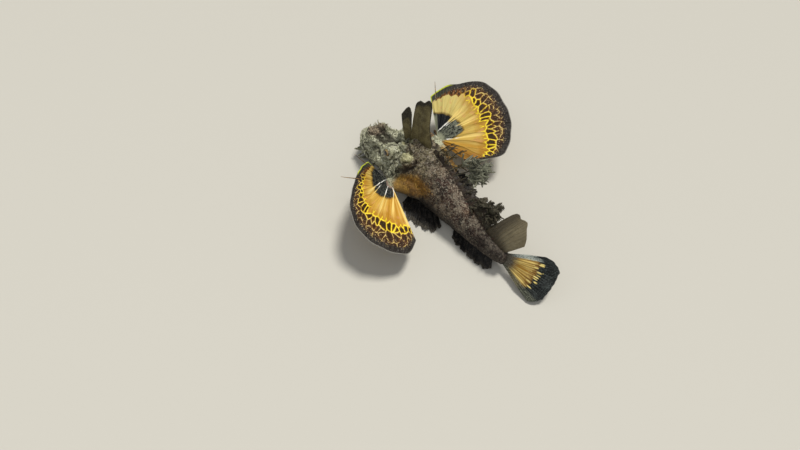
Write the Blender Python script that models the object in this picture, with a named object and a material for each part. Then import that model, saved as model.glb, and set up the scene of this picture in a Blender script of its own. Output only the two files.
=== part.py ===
"""A demon stinger, life size: a stingfish resting on its belly with both pectoral fans spread.

Metres, +Z up. +X points to the head and +Y to the fish's left. The origin lies on the flat of the belly,
between the two pectoral fins. The body is one loft along a gently bent midline, parted across into head,
trunk and tail. Each fin, fleshy fin base and walking ray is a piece of its own, and its root is cut to the
surface that it grows from with a small gap. Distances along the fish are stations: the arc length from the
front of the jaws.
"""

import math
import random

import bmesh
import bpy
from mathutils import Matrix, Vector

MM = 0.001

# Driving dimensions
BODY_LENGTH = 158 * MM
GAP = 0.3 * MM
BELLY_STATION = 62 * MM
HEAD_END = 57 * MM
TRUNK_MIDDLE = 92 * MM
TRUNK_END = 124 * MM
RING_POINTS = 26
SIDES = {"left": 1, "right": -1}
# How far the midline is drawn on past the jaws and the tail root, for the flaps and fins out there
MIDLINE_REACH = (-20 * MM, BODY_LENGTH + 60 * MM)

# Heading of the midline against +X, in degrees, from the jaws to the root of the tail fin
MIDLINE_HEADING = (
    (0, 22), (15, 21), (30, 15), (45, 5), (60, -3),
    (80, -5.5), (120, -4.5), (145, 0), (158, 5),
)

# Cross-sections in millimetres: station, half width, lowest and highest level, level of the greatest width,
# and how far the ridge leans to the fish's right
SECTIONS = (
    (0, 6.5, 8.5, 20.0, 13.5, 0.0),
    (2, 9.5, 5.0, 25.0, 13.5, 0.0),
    (6, 12.0, 2.6, 30.0, 12.5, 0.0),
    (12, 13.8, 1.4, 31.0, 12.0, 0.3),
    (20, 16.0, 0.9, 27.0, 11.5, 0.5),
    (28, 19.0, 0.4, 27.0, 12.0, 1.0),
    (36, 21.8, -0.3, 30.5, 13.5, 2.0),
    (44, 22.8, -0.8, 37.5, 15.5, 3.2),
    (52, 21.8, -0.9, 42.5, 17.5, 4.0),
    (62, 19.0, -0.9, 44.0, 18.5, 4.0),
    (78, 16.2, -0.8, 42.0, 18.0, 3.2),
    (94, 14.0, -0.3, 38.0, 17.0, 2.2),
    (110, 11.4, 1.2, 33.0, 16.0, 1.2),
    (126, 9.0, 3.4, 28.0, 15.0, 0.6),
    (142, 7.2, 6.0, 23.5, 14.4, 0.2),
    (152, 6.0, 7.6, 21.0, 14.2, 0.0),
    (158, 4.6, 8.6, 19.8, 14.2, 0.0),
)
# Squareness of the section above and below its widest level: 2 is an ellipse, more is boxier
BACK_POWER = ((0, 2.4), (20, 2.7), (36, 2.5), (50, 1.9), (80, 1.8), (130, 2.0), (158, 2.2))
BELLY_POWER = ((0, 2.4), (20, 3.0), (60, 3.2), (100, 2.8), (158, 2.2))

SKIN_BROWN = (0.085, 0.060, 0.052)
HEAD_GREY = (0.20, 0.19, 0.155)
FIN_ORANGE = (0.62, 0.27, 0.035)
FIN_DARK = (0.035, 0.028, 0.025)
DORSAL_OLIVE = (0.13, 0.105, 0.065)
EYE_GOLD = (0.16, 0.12, 0.05)


class Profile:
    """A smooth curve through rows of place and value, flat past its ends, with no overshoot."""

    def __init__(self, rows, unit=1.0):
        self.places = [row[0] * unit for row in rows]
        self.values = [row[1] for row in rows]
        count = len(rows)
        steps = [
            (self.values[i + 1] - self.values[i]) / (self.places[i + 1] - self.places[i])
            for i in range(count - 1)
        ]
        self.slopes = [steps[0]]
        for before, after in zip(steps, steps[1:]):
            same_way = before * after > 0
            self.slopes.append(2 * before * after / (before + after) if same_way else 0.0)
        self.slopes.append(steps[-1])

    def __call__(self, place):
        if place <= self.places[0]:
            return self.values[0]
        if place >= self.places[-1]:
            return self.values[-1]
        i = max(k for k, start in enumerate(self.places) if start <= place)
        span = self.places[i + 1] - self.places[i]
        t = (place - self.places[i]) / span
        rise = self.values[i + 1] - self.values[i]
        start_bend = span * self.slopes[i] - rise
        end_bend = rise - span * self.slopes[i + 1]
        return self.values[i] + t * rise + t * (1 - t) * ((1 - t) * start_bend + t * end_bend)


heading_at = Profile(MIDLINE_HEADING, MM)
half_width_at = Profile([(row[0], row[1] * MM) for row in SECTIONS], MM)
low_at = Profile([(row[0], row[2] * MM) for row in SECTIONS], MM)
high_at = Profile([(row[0], row[3] * MM) for row in SECTIONS], MM)
widest_at = Profile([(row[0], row[4] * MM) for row in SECTIONS], MM)
lean_at = Profile([(row[0], row[5] * MM) for row in SECTIONS], MM)
back_power_at = Profile(BACK_POWER, MM)
belly_power_at = Profile(BELLY_POWER, MM)


def midline_points():
    """Places on the floor under the midline at every millimetre of station."""
    step = 1 * MM
    first, last = (round(station / step) for station in MIDLINE_REACH)
    start = round(BELLY_STATION / step)
    points = {start: Vector((0, 0, 0))}
    for index in range(start, last):
        angle = math.radians(heading_at((index + 0.5) * step))
        points[index + 1] = points[index] - Vector((math.cos(angle), math.sin(angle), 0)) * step
    for index in range(start, first, -1):
        angle = math.radians(heading_at((index - 0.5) * step))
        points[index - 1] = points[index] + Vector((math.cos(angle), math.sin(angle), 0)) * step
    return points


MIDLINE = midline_points()


def forward_at(station):
    angle = math.radians(heading_at(station))
    return Vector((math.cos(angle), math.sin(angle), 0))


def left_at(station):
    forward = forward_at(station)
    return Vector((-forward.y, forward.x, 0))


def place(station, lateral, level):
    """The point that lies so far left of the midline and so high above the floor at a station."""
    below = math.floor(station / MM)
    share = station / MM - below
    centre = MIDLINE[below].lerp(MIDLINE[below + 1], share)
    return centre + left_at(station) * lateral + Vector((0, 0, level))


def section_point(station, turn, grow=0.0):
    """A point of the skin: turn 0 is the left flank, a quarter turn the ridge. grow moves it outwards."""
    across, up = math.cos(turn), math.sin(turn)
    power = back_power_at(station) if up >= 0 else belly_power_at(station)
    across = math.copysign(abs(across) ** (2 / power), across)
    up = math.copysign(abs(up) ** (2 / power), up)
    wide = widest_at(station)
    if up >= 0:
        level = wide + (high_at(station) + grow - wide) * up
    else:
        level = wide + (wide - low_at(station) + grow) * up
    lateral = (half_width_at(station) + grow) * across
    lateral -= lean_at(station) * max(up, 0.0) ** 1.5
    return place(station, lateral, max(level, -grow))


def surface(station, turn_deg):
    """A point of the skin and the outward direction there."""
    turn = math.radians(turn_deg)
    step = 0.5 * MM
    point = section_point(station, turn)
    around = section_point(station, turn + 0.02) - section_point(station, turn - 0.02)
    along = section_point(station + step, turn) - section_point(station - step, turn)
    return point, around.cross(along).normalized()


# Mesh helpers


def make_material(name, color, roughness=0.55):
    material = bpy.data.materials.new(name)
    material.use_nodes = True
    shader = material.node_tree.nodes["Principled BSDF"]
    shader.inputs["Base Color"].default_value = (*color, 1.0)
    shader.inputs["Roughness"].default_value = roughness
    shader.inputs["Metallic"].default_value = 0.0
    return material


def object_from(name, points, faces):
    """A mesh object from points and faces, with all faces turned outwards."""
    mesh = bpy.data.meshes.new(name)
    mesh.from_pydata([tuple(point) for point in points], [], faces)
    work = bmesh.new()
    work.from_mesh(mesh)
    bmesh.ops.recalc_face_normals(work, faces=work.faces)
    if work.calc_volume(signed=True) < 0:
        bmesh.ops.reverse_faces(work, faces=work.faces)
    work.to_mesh(mesh)
    work.free()
    thing = bpy.data.objects.new(name, mesh)
    bpy.context.scene.collection.objects.link(thing)
    return thing


def loft(name, rings):
    """A closed solid through rings of equally many points, flat at both ends."""
    count = len(rings[0])
    points = [point for ring in rings for point in ring]
    faces = [tuple(range(count))[::-1], tuple(range(len(points) - count, len(points)))]
    for level in range(len(rings) - 1):
        base = level * count
        for k in range(count):
            after = (k + 1) % count
            faces.append((base + k, base + after, base + count + after, base + count + k))
    return object_from(name, points, faces)


def sweep(name, path, radii, sides=8, flatten=1.0, floor=None):
    """A round or flattened tube along a path, as thick as its radii say. floor keeps it above a level."""
    rings = []
    for index, (centre, radius) in enumerate(zip(path, radii)):
        before, after = path[max(index - 1, 0)], path[min(index + 1, len(path) - 1)]
        along = (after - before).normalized()
        aside = along.cross(Vector((0, 0, 1)))
        aside = aside.normalized() if aside.length > 1e-6 else Vector((0, 1, 0))
        above = aside.cross(along)
        ring = []
        for k in range(sides):
            turn = math.tau * k / sides
            point = centre + radius * (aside * math.cos(turn) + above * flatten * math.sin(turn))
            if floor is not None:
                point.z = max(point.z, floor)
            ring.append(point)
        rings.append(ring)
    return loft(name, rings)


def bend(points, count):
    """Evenly spaced points on one smooth curve that starts and ends at the first and last point given."""
    work = [Vector(point) for point in points]
    result = []
    for k in range(count):
        t = k / (count - 1)
        level = work
        while len(level) > 1:
            level = [a.lerp(b, t) for a, b in zip(level, level[1:])]
        result.append(level[0])
    return result


def vane(root, direction, across, length, width, thick=0.9 * MM, curl=0.0, tip=0.35, sunk=2.0 * MM):
    """A flat, tapered flap of skin that stands out from root and bends towards the lie of the body."""
    direction = direction.normalized()
    across = (across - direction * across.dot(direction)).normalized()
    normal = direction.cross(across)
    rings = []
    for share, wide in ((-sunk / length, 0.7), (0.35, 1.0), (0.7, 0.85), (1.0, tip)):
        centre = root + direction * (share * length) + normal * (curl * length * max(share, 0) ** 2)
        side = across * (width * wide / 2)
        half = normal * (thick * (1 - 0.45 * max(share, 0)) / 2)
        low, high = centre - half, centre + half
        rings.append([low - side, low + side, high + side, high - side])
    return loft("vane", rings)


def spine(root, direction, length, radius, sunk=1.5 * MM):
    """A sharp cone with five sides."""
    direction = direction.normalized()
    aside = direction.orthogonal().normalized()
    above = direction.cross(aside)
    base = root - direction * sunk
    turns = [math.tau * k / 5 for k in range(5)]
    ring = [base + radius * (aside * math.cos(turn) + above * math.sin(turn)) for turn in turns]
    faces = [(4, 3, 2, 1, 0)] + [(k, (k + 1) % 5, 5) for k in range(5)]
    return object_from("spine", ring + [root + direction * length], faces)


def ball(centre, radii, forward=Vector((1, 0, 0)), segments=12, rings=8):
    """An ellipsoid whose first radius lies along forward and whose third is nearest to up."""
    work = bmesh.new()
    bmesh.ops.create_uvsphere(work, u_segments=segments, v_segments=rings, radius=1.0)
    forward = forward.normalized()
    left = Vector((0, 0, 1)).cross(forward).normalized()
    up = forward.cross(left)
    turn = Matrix((forward, left, up)).transposed().to_4x4()
    place_matrix = Matrix.Translation(centre) @ turn @ Matrix.Diagonal((*radii, 1.0))
    bmesh.ops.transform(work, matrix=place_matrix, verts=work.verts)
    mesh = bpy.data.meshes.new("ball")
    work.to_mesh(mesh)
    work.free()
    thing = bpy.data.objects.new("ball", mesh)
    bpy.context.scene.collection.objects.link(thing)
    return thing


def ring_of_lid(centre, axis, major, minor, around=14, sides=5):
    """A closed ring of flesh round an eye, square to its axis."""
    axis = axis.normalized()
    aside = axis.orthogonal().normalized()
    above = axis.cross(aside)
    points, faces = [], []
    for i in range(around):
        out = aside * math.cos(math.tau * i / around) + above * math.sin(math.tau * i / around)
        for k in range(sides):
            turn = math.tau * k / sides
            points.append(centre + out * (major + minor * math.cos(turn)) + axis * minor * math.sin(turn))
    for i in range(around):
        for k in range(sides):
            a, b = i * sides + k, i * sides + (k + 1) % sides
            c, d = (i + 1) % around * sides + (k + 1) % sides, (i + 1) % around * sides + k
            faces.append((a, b, c, d))
    return object_from("lid", points, faces)


def keep_largest(thing):
    """Drops every closed surface of a mesh but the one that reaches furthest."""
    work = bmesh.new()
    work.from_mesh(thing.data)
    work.verts.ensure_lookup_table()
    unseen, shells = set(work.verts), []
    while unseen:
        shell, front = set(), [unseen.pop()]
        while front:
            vertex = front.pop()
            shell.add(vertex)
            for edge in vertex.link_edges:
                other = edge.other_vert(vertex)
                if other in unseen:
                    unseen.remove(other)
                    front.append(other)
        shells.append(shell)

    def reach(shell):
        low = [min(vertex.co[k] for vertex in shell) for k in range(3)]
        high = [max(vertex.co[k] for vertex in shell) for k in range(3)]
        return math.dist(low, high)

    biggest = max(shells, key=reach)
    scraps = [vertex for shell in shells if shell is not biggest for vertex in shell]
    bmesh.ops.delete(work, geom=scraps, context="VERTS")
    work.to_mesh(thing.data)
    work.free()


def apply_boolean(thing, operation, tools):
    """Joins tools to a mesh or cuts them from it, in one step, and removes them."""
    group = bpy.data.collections.new("tools")
    bpy.context.scene.collection.children.link(group)
    for tool in tools:
        bpy.context.scene.collection.objects.unlink(tool)
        group.objects.link(tool)
    modifier = thing.modifiers.new("Boolean", "BOOLEAN")
    modifier.operation = operation
    modifier.solver = "EXACT"
    modifier.operand_type = "COLLECTION"
    modifier.collection = group
    with bpy.context.temp_override(object=thing):
        bpy.ops.object.modifier_apply(modifier=modifier.name)
    for tool in tools:
        bpy.data.objects.remove(tool)
    bpy.data.collections.remove(group)
    keep_largest(thing)


def finish(thing, name, material):
    """Names a finished piece, gives it its material and shades it smooth except at sharp edges."""
    thing.name = name
    thing.data.name = name
    thing.data.materials.clear()
    thing.data.materials.append(material)
    thing.data.shade_smooth()
    thing.data.set_sharp_from_angle(angle=math.radians(40))
    return thing


# The body


def body_length(name, start, end, steps, grow=0.0):
    """A stretch of the body between two stations."""
    rings = []
    for k in range(steps + 1):
        station = start + (end - start) * k / steps
        turns = [math.tau * (j + 0.5) / RING_POINTS for j in range(RING_POINTS)]
        rings.append([section_point(station, turn, grow) for turn in turns])
    return loft(name, rings)


def body_cutter():
    """The whole body, larger by the gap, for cutting the roots of fins."""
    return body_length("cutter", -GAP, BODY_LENGTH + GAP, 70, grow=GAP)


# Each eye: its place on the brow, its radius, how far it stands out, and its look ahead, aside and up
EYE_STATION = 33 * MM
EYE_LATERAL = 9.5 * MM
EYE_LEVEL = 28.5 * MM
EYE_RADIUS = 4.2 * MM
EYE_STANDS_OUT = 4.6 * MM
EYE_LOOK = (0.35, 0.80, 0.50)
# The turret under each eye, how far its middle lies inwards of the eye's, and the ring of its lids
BROW_RADII = (7.6 * MM, 6.0 * MM, 8.0 * MM)
BROW_INSET = 0.92
LID_OUT = 1.5 * MM
LID_RADIUS = 4.1 * MM
LID_THICK = 1.2 * MM
TENTACLE_LENGTH = 7 * MM
TENTACLE_WIDTH = 2.6 * MM
# The mouth: half its width, its front station, how far back its corners lie, its level and their drop
GAPE_HALF_WIDTH = 12.6 * MM
GAPE_FRONT = -0.5 * MM
GAPE_DEPTH = 12.0 * MM
GAPE_LEVEL = 24.0 * MM
GAPE_DROP = 13.0 * MM
# Each lip in millimetres: above the gape, ahead of it, radius at the corners, and how much thicker in front
LIPS = ((1.7, -1.3, 1.0, 0.8), (-1.6, 0.9, 1.3, 1.0))
# Lumps of the snout in millimetres: station, lateral, level and radii. Hump, two nostril bulbs, chin
SNOUT_LUMPS = (
    (7, 0, 26.5, (6, 6.5, 6)),
    (12, 7, 28, (4.8, 3.8, 4.6)),
    (12, -7, 28, (4.8, 3.8, 4.6)),
    (2.5, 0, 10, (6.5, 9, 7)),
)
# A nostril's bore runs from its mouth to inside its bulb: station, lateral, level and radius in millimetres
NOSTRIL = ((9.5, 11.0, 31.0, 0.95), (12.0, 6.5, 27.0, 0.7))
# Spines on the cheek's rear edge and the brow ridge: station, turn and length in millimetres
CHEEK_SPINES = ((38, 8, 5.0), (42, -8, 6.0), (44, -24, 5.0), (45, -40, 4.0), (50, 26, 5.5))
SPINE_RADIUS = 1.3 * MM
# Soft flaps of chin and snout, in millimetres: lateral, station, level, length, and how steeply they rise
CHIN_BEARDS = (
    (9.0, 0.0, 9.5, 6.5, -0.1),
    (4.5, -2.0, 8.0, 6.0, -0.35),
    (5.0, 2.5, 24.5, 6.5, 1.2),
    (10.5, 4.0, 21.0, 6.0, 0.3),
)
BEARD_WIDTH = 2.8 * MM
# The pale round lump on the left side of the nape: station, turn and radii
NAPE_LUMP_STATION = 50.5 * MM
NAPE_LUMP_TURN = 50
NAPE_LUMP_RADII = (5.2 * MM, 4.8 * MM, 4.4 * MM)


def eye_frame(side):
    """The centre of an eye and the direction that it looks."""
    sign = SIDES[side]
    knob = place(EYE_STATION, sign * EYE_LATERAL, EYE_LEVEL)
    ahead, aside, up = EYE_LOOK
    look = forward_at(EYE_STATION) * ahead + left_at(EYE_STATION) * (aside * sign) + Vector((0, 0, up))
    look.normalize()
    return knob + look * EYE_STANDS_OUT, look


def gape_point(t):
    """The line of the mouth: the right corner at -1, the snout's front at 0, the left corner at 1."""
    lateral = GAPE_HALF_WIDTH * math.sin(t * math.pi / 2)
    station = GAPE_FRONT + GAPE_DEPTH * (1 - math.cos(t * math.pi / 2))
    level = GAPE_LEVEL - GAPE_DROP * abs(t) ** 1.4
    return place(station, lateral, level)


def lips():
    """The two lips, one on each side of the line of the mouth."""
    shares = [k / 5 - 1 for k in range(11)]
    made = []
    for above, ahead, radius, more in LIPS:
        shift = Vector((0, 0, above * MM)) + forward_at(0) * (ahead * MM)
        path = [gape_point(t) + shift for t in shares]
        radii = [(radius + more * math.cos(t * math.pi / 2)) * MM for t in shares]
        made.append(sweep("lip", path, radii, sides=7))
    return made


def brow_knobs():
    """The raised turrets that carry the eyes, with a ring of flesh for lids."""
    made = []
    for side, sign in SIDES.items():
        centre, look = eye_frame(side)
        knob = place(EYE_STATION, sign * EYE_LATERAL * BROW_INSET, EYE_LEVEL)
        made.append(ball(knob, BROW_RADII, forward_at(EYE_STATION)))
        made.append(ring_of_lid(centre + look * LID_OUT, look, LID_RADIUS, LID_THICK))
    return made


def nose():
    """The hump on the snout over the upper jaw, the bulbs that hold the nostrils, and the chin."""
    made = []
    for station, lateral, level, radii in SNOUT_LUMPS:
        centre = place(station * MM, lateral * MM, level * MM)
        made.append(ball(centre, [radius * MM for radius in radii], forward_at(station * MM)))
    return made


def nostril_cutters():
    made = []
    for sign in SIDES.values():
        path = [place(row[0] * MM, sign * row[1] * MM, row[2] * MM) for row in NOSTRIL]
        made.append(sweep("nostril", path, [row[3] * MM for row in NOSTRIL], sides=8))
    return made


def eye_sockets():
    made = []
    for side in SIDES:
        centre, look = eye_frame(side)
        made.append(ball(centre, [EYE_RADIUS + GAP] * 3, look, 14, 9))
    return made


def cheek_spines():
    """The short spines on the rear edge of each cheek and the brow ridge."""
    made = []
    for sign in SIDES.values():
        for station, turn, length in CHEEK_SPINES:
            root, out = surface(station * MM, turn if sign > 0 else 180 - turn)
            made.append(spine(root, out * 0.7 - forward_at(station * MM), length * MM, SPINE_RADIUS))
    return made


# Flaps of skin: station, turn from the left flank, length, width, and how far the flap sweeps back
HEAD_FLAPS = (
    (2, -30, 8.0, 3.0, 0.1),
    (4, -58, 7.0, 2.8, 0.3),
    (6, 14, 5.5, 2.4, 0.2),
    (10, 56, 6.0, 3.0, 0.2),
    (19, 48, 5.0, 2.6, 0.4),
    (13, -26, 7.5, 3.2, 0.5),
    (22, -20, 6.5, 3.0, 0.7),
    (32, -16, 7.0, 3.2, 0.8),
    (24, 22, 5.0, 2.4, 0.6),
    (41, 34, 6.0, 2.8, 0.8),
)
TRUNK_FLAPS = (
    (66, 42, 5.5, 2.6, 1.0),
    (78, 30, 5.0, 2.4, 1.0),
    (86, 52, 4.6, 2.4, 1.0),
    (97, 28, 5.0, 2.4, 1.0),
    (106, 48, 4.4, 2.2, 1.0),
    (116, 26, 4.6, 2.2, 1.0),
    (131, 30, 4.2, 2.0, 1.0),
    (141, 10, 3.8, 2.0, 1.0),
)
# Flaps on the left side of the ridge only, because the dorsal fin lies over its right side
RIDGE_FLAPS = (
    (65, 66, 5.0, 3.0, 0.6),
    (74, 70, 4.6, 2.8, 0.9),
    (84, 66, 4.4, 2.6, 0.8),
    (99, 68, 4.6, 2.6, 0.9),
    (108, 72, 4.4, 2.6, 0.8),
    (117, 68, 4.2, 2.4, 0.9),
    (128, 66, 3.8, 2.2, 0.8),
)
WARTS = (
    (40, 62, 2.4),
    (50, 44, 2.2),
    (62, 60, 2.2),
    (72, 46, 2.4),
    (83, 38, 2.0),
    (90, 60, 2.2),
    (101, 42, 2.0),
    (111, 58, 1.8),
    (119, 44, 1.8),
    (129, 50, 1.6),
    (137, 24, 1.6),
)


def skin_growths(start, end, seed):
    """The flaps and warts of both flanks between two stations."""
    draw = random.Random(seed)
    margin = 2.5 * MM
    made = []
    for station, turn, length, width, sweep_back in HEAD_FLAPS + TRUNK_FLAPS + RIDGE_FLAPS:
        if not start + margin < station * MM < end - margin:
            continue
        for sign in (1,) if turn > 60 else (1, -1):
            at = station * MM + draw.uniform(-0.6, 0.6) * MM
            root, out = surface(at, turn if sign > 0 else 180 - turn)
            direction = out - forward_at(at) * sweep_back + Vector((0, 0, draw.uniform(0.0, 0.25)))
            long = length * draw.uniform(0.85, 1.15) * MM
            made.append(vane(root, direction, forward_at(at), long, width * MM, curl=0.12 * sign))
    for station, turn, radius in WARTS:
        if not start + margin < station * MM < end - margin:
            continue
        for sign in (1, -1):
            root, out = surface(station * MM, turn if sign > 0 else 180 - turn)
            size = radius * draw.uniform(0.8, 1.2) * MM
            made.append(ball(root, (size, size, size * 0.7), out.orthogonal(), 7, 5))
    return made


def chin_beards():
    """The long soft flaps that hang from the chin and the tip of the snout."""
    made = []
    for lateral, station, level, length, lift in CHIN_BEARDS:
        for sign in SIDES.values():
            root = place(station * MM, sign * lateral * MM, level * MM)
            out = forward_at(0) + left_at(0) * (sign * lateral / 14) + Vector((0, 0, lift))
            made.append(vane(root, out, left_at(0), length * MM, BEARD_WIDTH, curl=0.15, sunk=3.5 * MM))
    return made


def brow_tentacles():
    """The flap that stands on top of each brow turret."""
    made = []
    for side, sign in SIDES.items():
        root = place(EYE_STATION + 1 * MM, sign * 8.0 * MM, EYE_LEVEL + BROW_RADII[2] - 0.6 * MM)
        lean = Vector((0, 0, 1)) + left_at(EYE_STATION) * (0.25 * sign) - forward_at(EYE_STATION) * 0.25
        forward = forward_at(EYE_STATION)
        made.append(vane(root, lean, forward, TENTACLE_LENGTH, TENTACLE_WIDTH, curl=0.2 * sign))
    return made


def nape_lump():
    root, out = surface(NAPE_LUMP_STATION, NAPE_LUMP_TURN)
    return [ball(root - out * (0.5 * MM), NAPE_LUMP_RADII, forward_at(NAPE_LUMP_STATION))]


def make_head(material):
    head = body_length("head", 0.0, HEAD_END - GAP / 2, 20)
    pieces = brow_knobs() + nose() + lips() + cheek_spines()
    pieces += chin_beards() + brow_tentacles() + nape_lump()
    pieces += skin_growths(-5 * MM, HEAD_END, seed=3)
    apply_boolean(head, "UNION", pieces)
    apply_boolean(head, "DIFFERENCE", eye_sockets() + nostril_cutters())
    return finish(head, "head", material)


def make_trunk(material):
    for name, start, end, steps, seed in (
        ("trunk_front", HEAD_END, TRUNK_MIDDLE, 8, 5),
        ("trunk_rear", TRUNK_MIDDLE, TRUNK_END, 7, 7),
        ("tail_stalk", TRUNK_END, BODY_LENGTH, 8, 9),
    ):
        last_gap = 0.0 if end == BODY_LENGTH else GAP / 2
        piece = body_length(name, start + GAP / 2, end - last_gap, steps)
        apply_boolean(piece, "UNION", skin_growths(start, end, seed))
        finish(piece, name, material)


def make_eyes(material):
    for side in SIDES:
        centre, look = eye_frame(side)
        eye = ball(centre, [EYE_RADIUS] * 3, look, 14, 9)
        finish(eye, f"eye_{side}", material)


# Fins


def fin_sheet(name, lines, ray_half, web_half):
    """A closed thin fin. lines are equally long rows of points from root to margin.

    Rows 1, 3, 5 ... are its rays, which stand up as ridges. Both faces are split along the same diagonals,
    and everything thins to the margin.
    """
    rows, depth = len(lines), len(lines[0])
    normals = {}
    for i in range(rows):
        for j in range(depth):
            across = lines[min(i + 1, rows - 1)][j] - lines[max(i - 1, 0)][j]
            along = lines[i][min(j + 1, depth - 1)] - lines[i][max(j - 1, 0)]
            normals[i, j] = across.cross(along).normalized()
    points = []
    for face in (1, -1):
        for i in range(rows):
            for j in range(depth):
                share = j / (depth - 1)
                half = ray_half * (1 - 0.55 * share) if i % 2 else web_half * (1 - 0.12 * share)
                points.append(lines[i][j] + normals[i, j] * (half * face))
    size = rows * depth
    faces = []
    for i in range(rows - 1):
        for j in range(depth - 1):
            a, b = i * depth + j, (i + 1) * depth + j
            c, d = b + 1, a + 1
            faces += [(a, b, c), (a, c, d), (size + c, size + b, size + a), (size + d, size + c, size + a)]
    rim = [i * depth for i in range(rows)]
    rim += [(rows - 1) * depth + j for j in range(1, depth)]
    rim += [i * depth + depth - 1 for i in range(rows - 2, -1, -1)]
    rim += [j for j in range(depth - 2, 0, -1)]
    for a, b in zip(rim, rim[1:] + rim[:1]):
        faces += [(a, size + a, size + b), (a, size + b, b)]
    return object_from(name, points, faces)


PIVOTS = {"left": Vector((9.9, 28.6, 17.5)) * MM, "right": Vector((17.5, -29.4, 17.5)) * MM}
PECTORAL_RAYS = 10
FAN_ROOT = 5.0 * MM
# The margin of each fan: direction against +X in degrees, then reach over the floor and rise above the
# pivot in millimetres
FAN_MARGINS = {
    "left": (
        (26, 19, 20),
        (45, 22, 24),
        (66, 26, 26),
        (87, 36, 27),
        (100, 47, 26),
        (115, 58, 23),
        (132, 65, 15),
        (148, 67, 6),
        (160, 55, 1.5),
    ),
    "right": (
        (31, 35, 15),
        (47, 41, 18),
        (61, 47, 20),
        (85, 59, 21),
        (108, 60, 19),
        (130, 59, 15),
        (150, 57, 11),
        (160, 48, 7),
        (166, 43, 6),
        (172, 38, 5),
        (178, 32, 4),
    ),
}
# Threads at the tips of some pectoral rays: the ray, and the thread's length
FAN_THREADS = {"left": ((0, 11 * MM), (3, 14 * MM)), "right": ((0, 9 * MM),)}
# The fleshy base in millimetres: share of its length, then how far it reaches ahead, behind and up and down
LOBE_SECTIONS = (
    (0.0, 13.0, 24.0, 9.5),
    (0.25, 11.5, 20.0, 8.2),
    (0.45, 9.0, 13.0, 6.4),
    (0.62, 7.6, 8.6, 4.8),
    (0.78, 6.6, 6.6, 3.8),
    (0.92, 5.2, 5.2, 3.0),
    (1.0, 2.6, 2.6, 1.6),
)
LOBE_POINTS = 16
# Each walking ray in millimetres: how far ahead of the pivot it starts, and how far ahead and aside it ends
WALKING_RAYS = ((3.5, 25, 5), (-2, 15, 13))
WALKING_RADII = (2.0, 0.9)


def pectoral_lobe(side, grow=0.0):
    """The fleshy base of a pectoral fin: broad on the flank, ending in a thick disc round the pivot."""
    sign = SIDES[side]
    pivot = PIVOTS[side]
    root = place(BELLY_STATION + 4 * MM, sign * 8 * MM, 17 * MM)
    along = pivot - root
    reach = along.length + 6.0 * MM
    along.normalize()
    aside = Vector((0, 0, 1)).cross(along).normalized()
    up = along.cross(aside)
    rings = []
    for share, ahead, behind, thick in LOBE_SECTIONS:
        centre = root + along * (share * reach + (grow if share == 1.0 else 0.0))
        ring = []
        for k in range(LOBE_POINTS):
            across, rise = math.cos(math.tau * k / LOBE_POINTS), math.sin(math.tau * k / LOBE_POINTS)
            wide = (behind if across * sign > 0 else ahead) * MM + grow
            ring.append(centre + aside * (wide * across) + up * ((thick * MM + grow) * rise))
        rings.append(ring)
    return loft("lobe", rings)


def pectoral_lines(side):
    """The rays and webs of a pectoral fan as rows of points."""
    pivot = PIVOTS[side]
    margin = FAN_MARGINS[side]
    count = 2 * PECTORAL_RAYS + 1
    depth = 8
    first, last = margin[0][0], margin[-1][0]
    reach_at = Profile([(row[0], row[1] * MM) for row in margin])
    rise_at = Profile([(row[0], row[2] * MM) for row in margin])
    lines = []
    for i in range(count):
        spread = first + (last - first) * i / (count - 1)
        turn = math.radians(spread * SIDES[side])
        reach, rise = reach_at(spread), rise_at(spread)
        if i % 2 == 0 and 0 < i < count - 1:
            reach -= 1.0 * MM
        out = Vector((math.cos(turn), math.sin(turn), 0))
        row = []
        for j in range(depth):
            share = j / (depth - 1)
            along = FAN_ROOT + (reach - FAN_ROOT) * share
            level = rise * (1.15 * share - 0.15 * share**3)
            row.append(pivot + out * along + Vector((0, 0, level)))
        lines.append(row)
    return lines


def fin_filaments(side):
    """The free threads at the tips of the foremost pectoral rays."""
    lines = pectoral_lines(side)
    made = []
    for ray, length in FAN_THREADS[side]:
        line = lines[2 * ray + 1]
        tip = line[-1]
        out = (tip - line[-3]).normalized()
        end = tip + out * length + Vector((0, 0, 1 * MM))
        path = [tip - out * (4 * MM), tip, tip + out * (length * 0.5), end]
        made.append(sweep("filament", path, [0.55 * MM, 0.5 * MM, 0.38 * MM, 0.25 * MM], sides=6))
    return made


def make_pectorals(fin_material, skin_material):
    for side in SIDES:
        lobe = pectoral_lobe(side)
        apply_boolean(lobe, "DIFFERENCE", [body_cutter()])
        finish(lobe, f"pectoral_base_{side}", skin_material)
        fan = fin_sheet("fan", pectoral_lines(side), ray_half=0.75 * MM, web_half=0.30 * MM)
        apply_boolean(fan, "UNION", fin_filaments(side))
        apply_boolean(fan, "DIFFERENCE", [pectoral_lobe(side, GAP), body_cutter()])
        finish(fan, f"pectoral_fin_{side}", fin_material)


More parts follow.
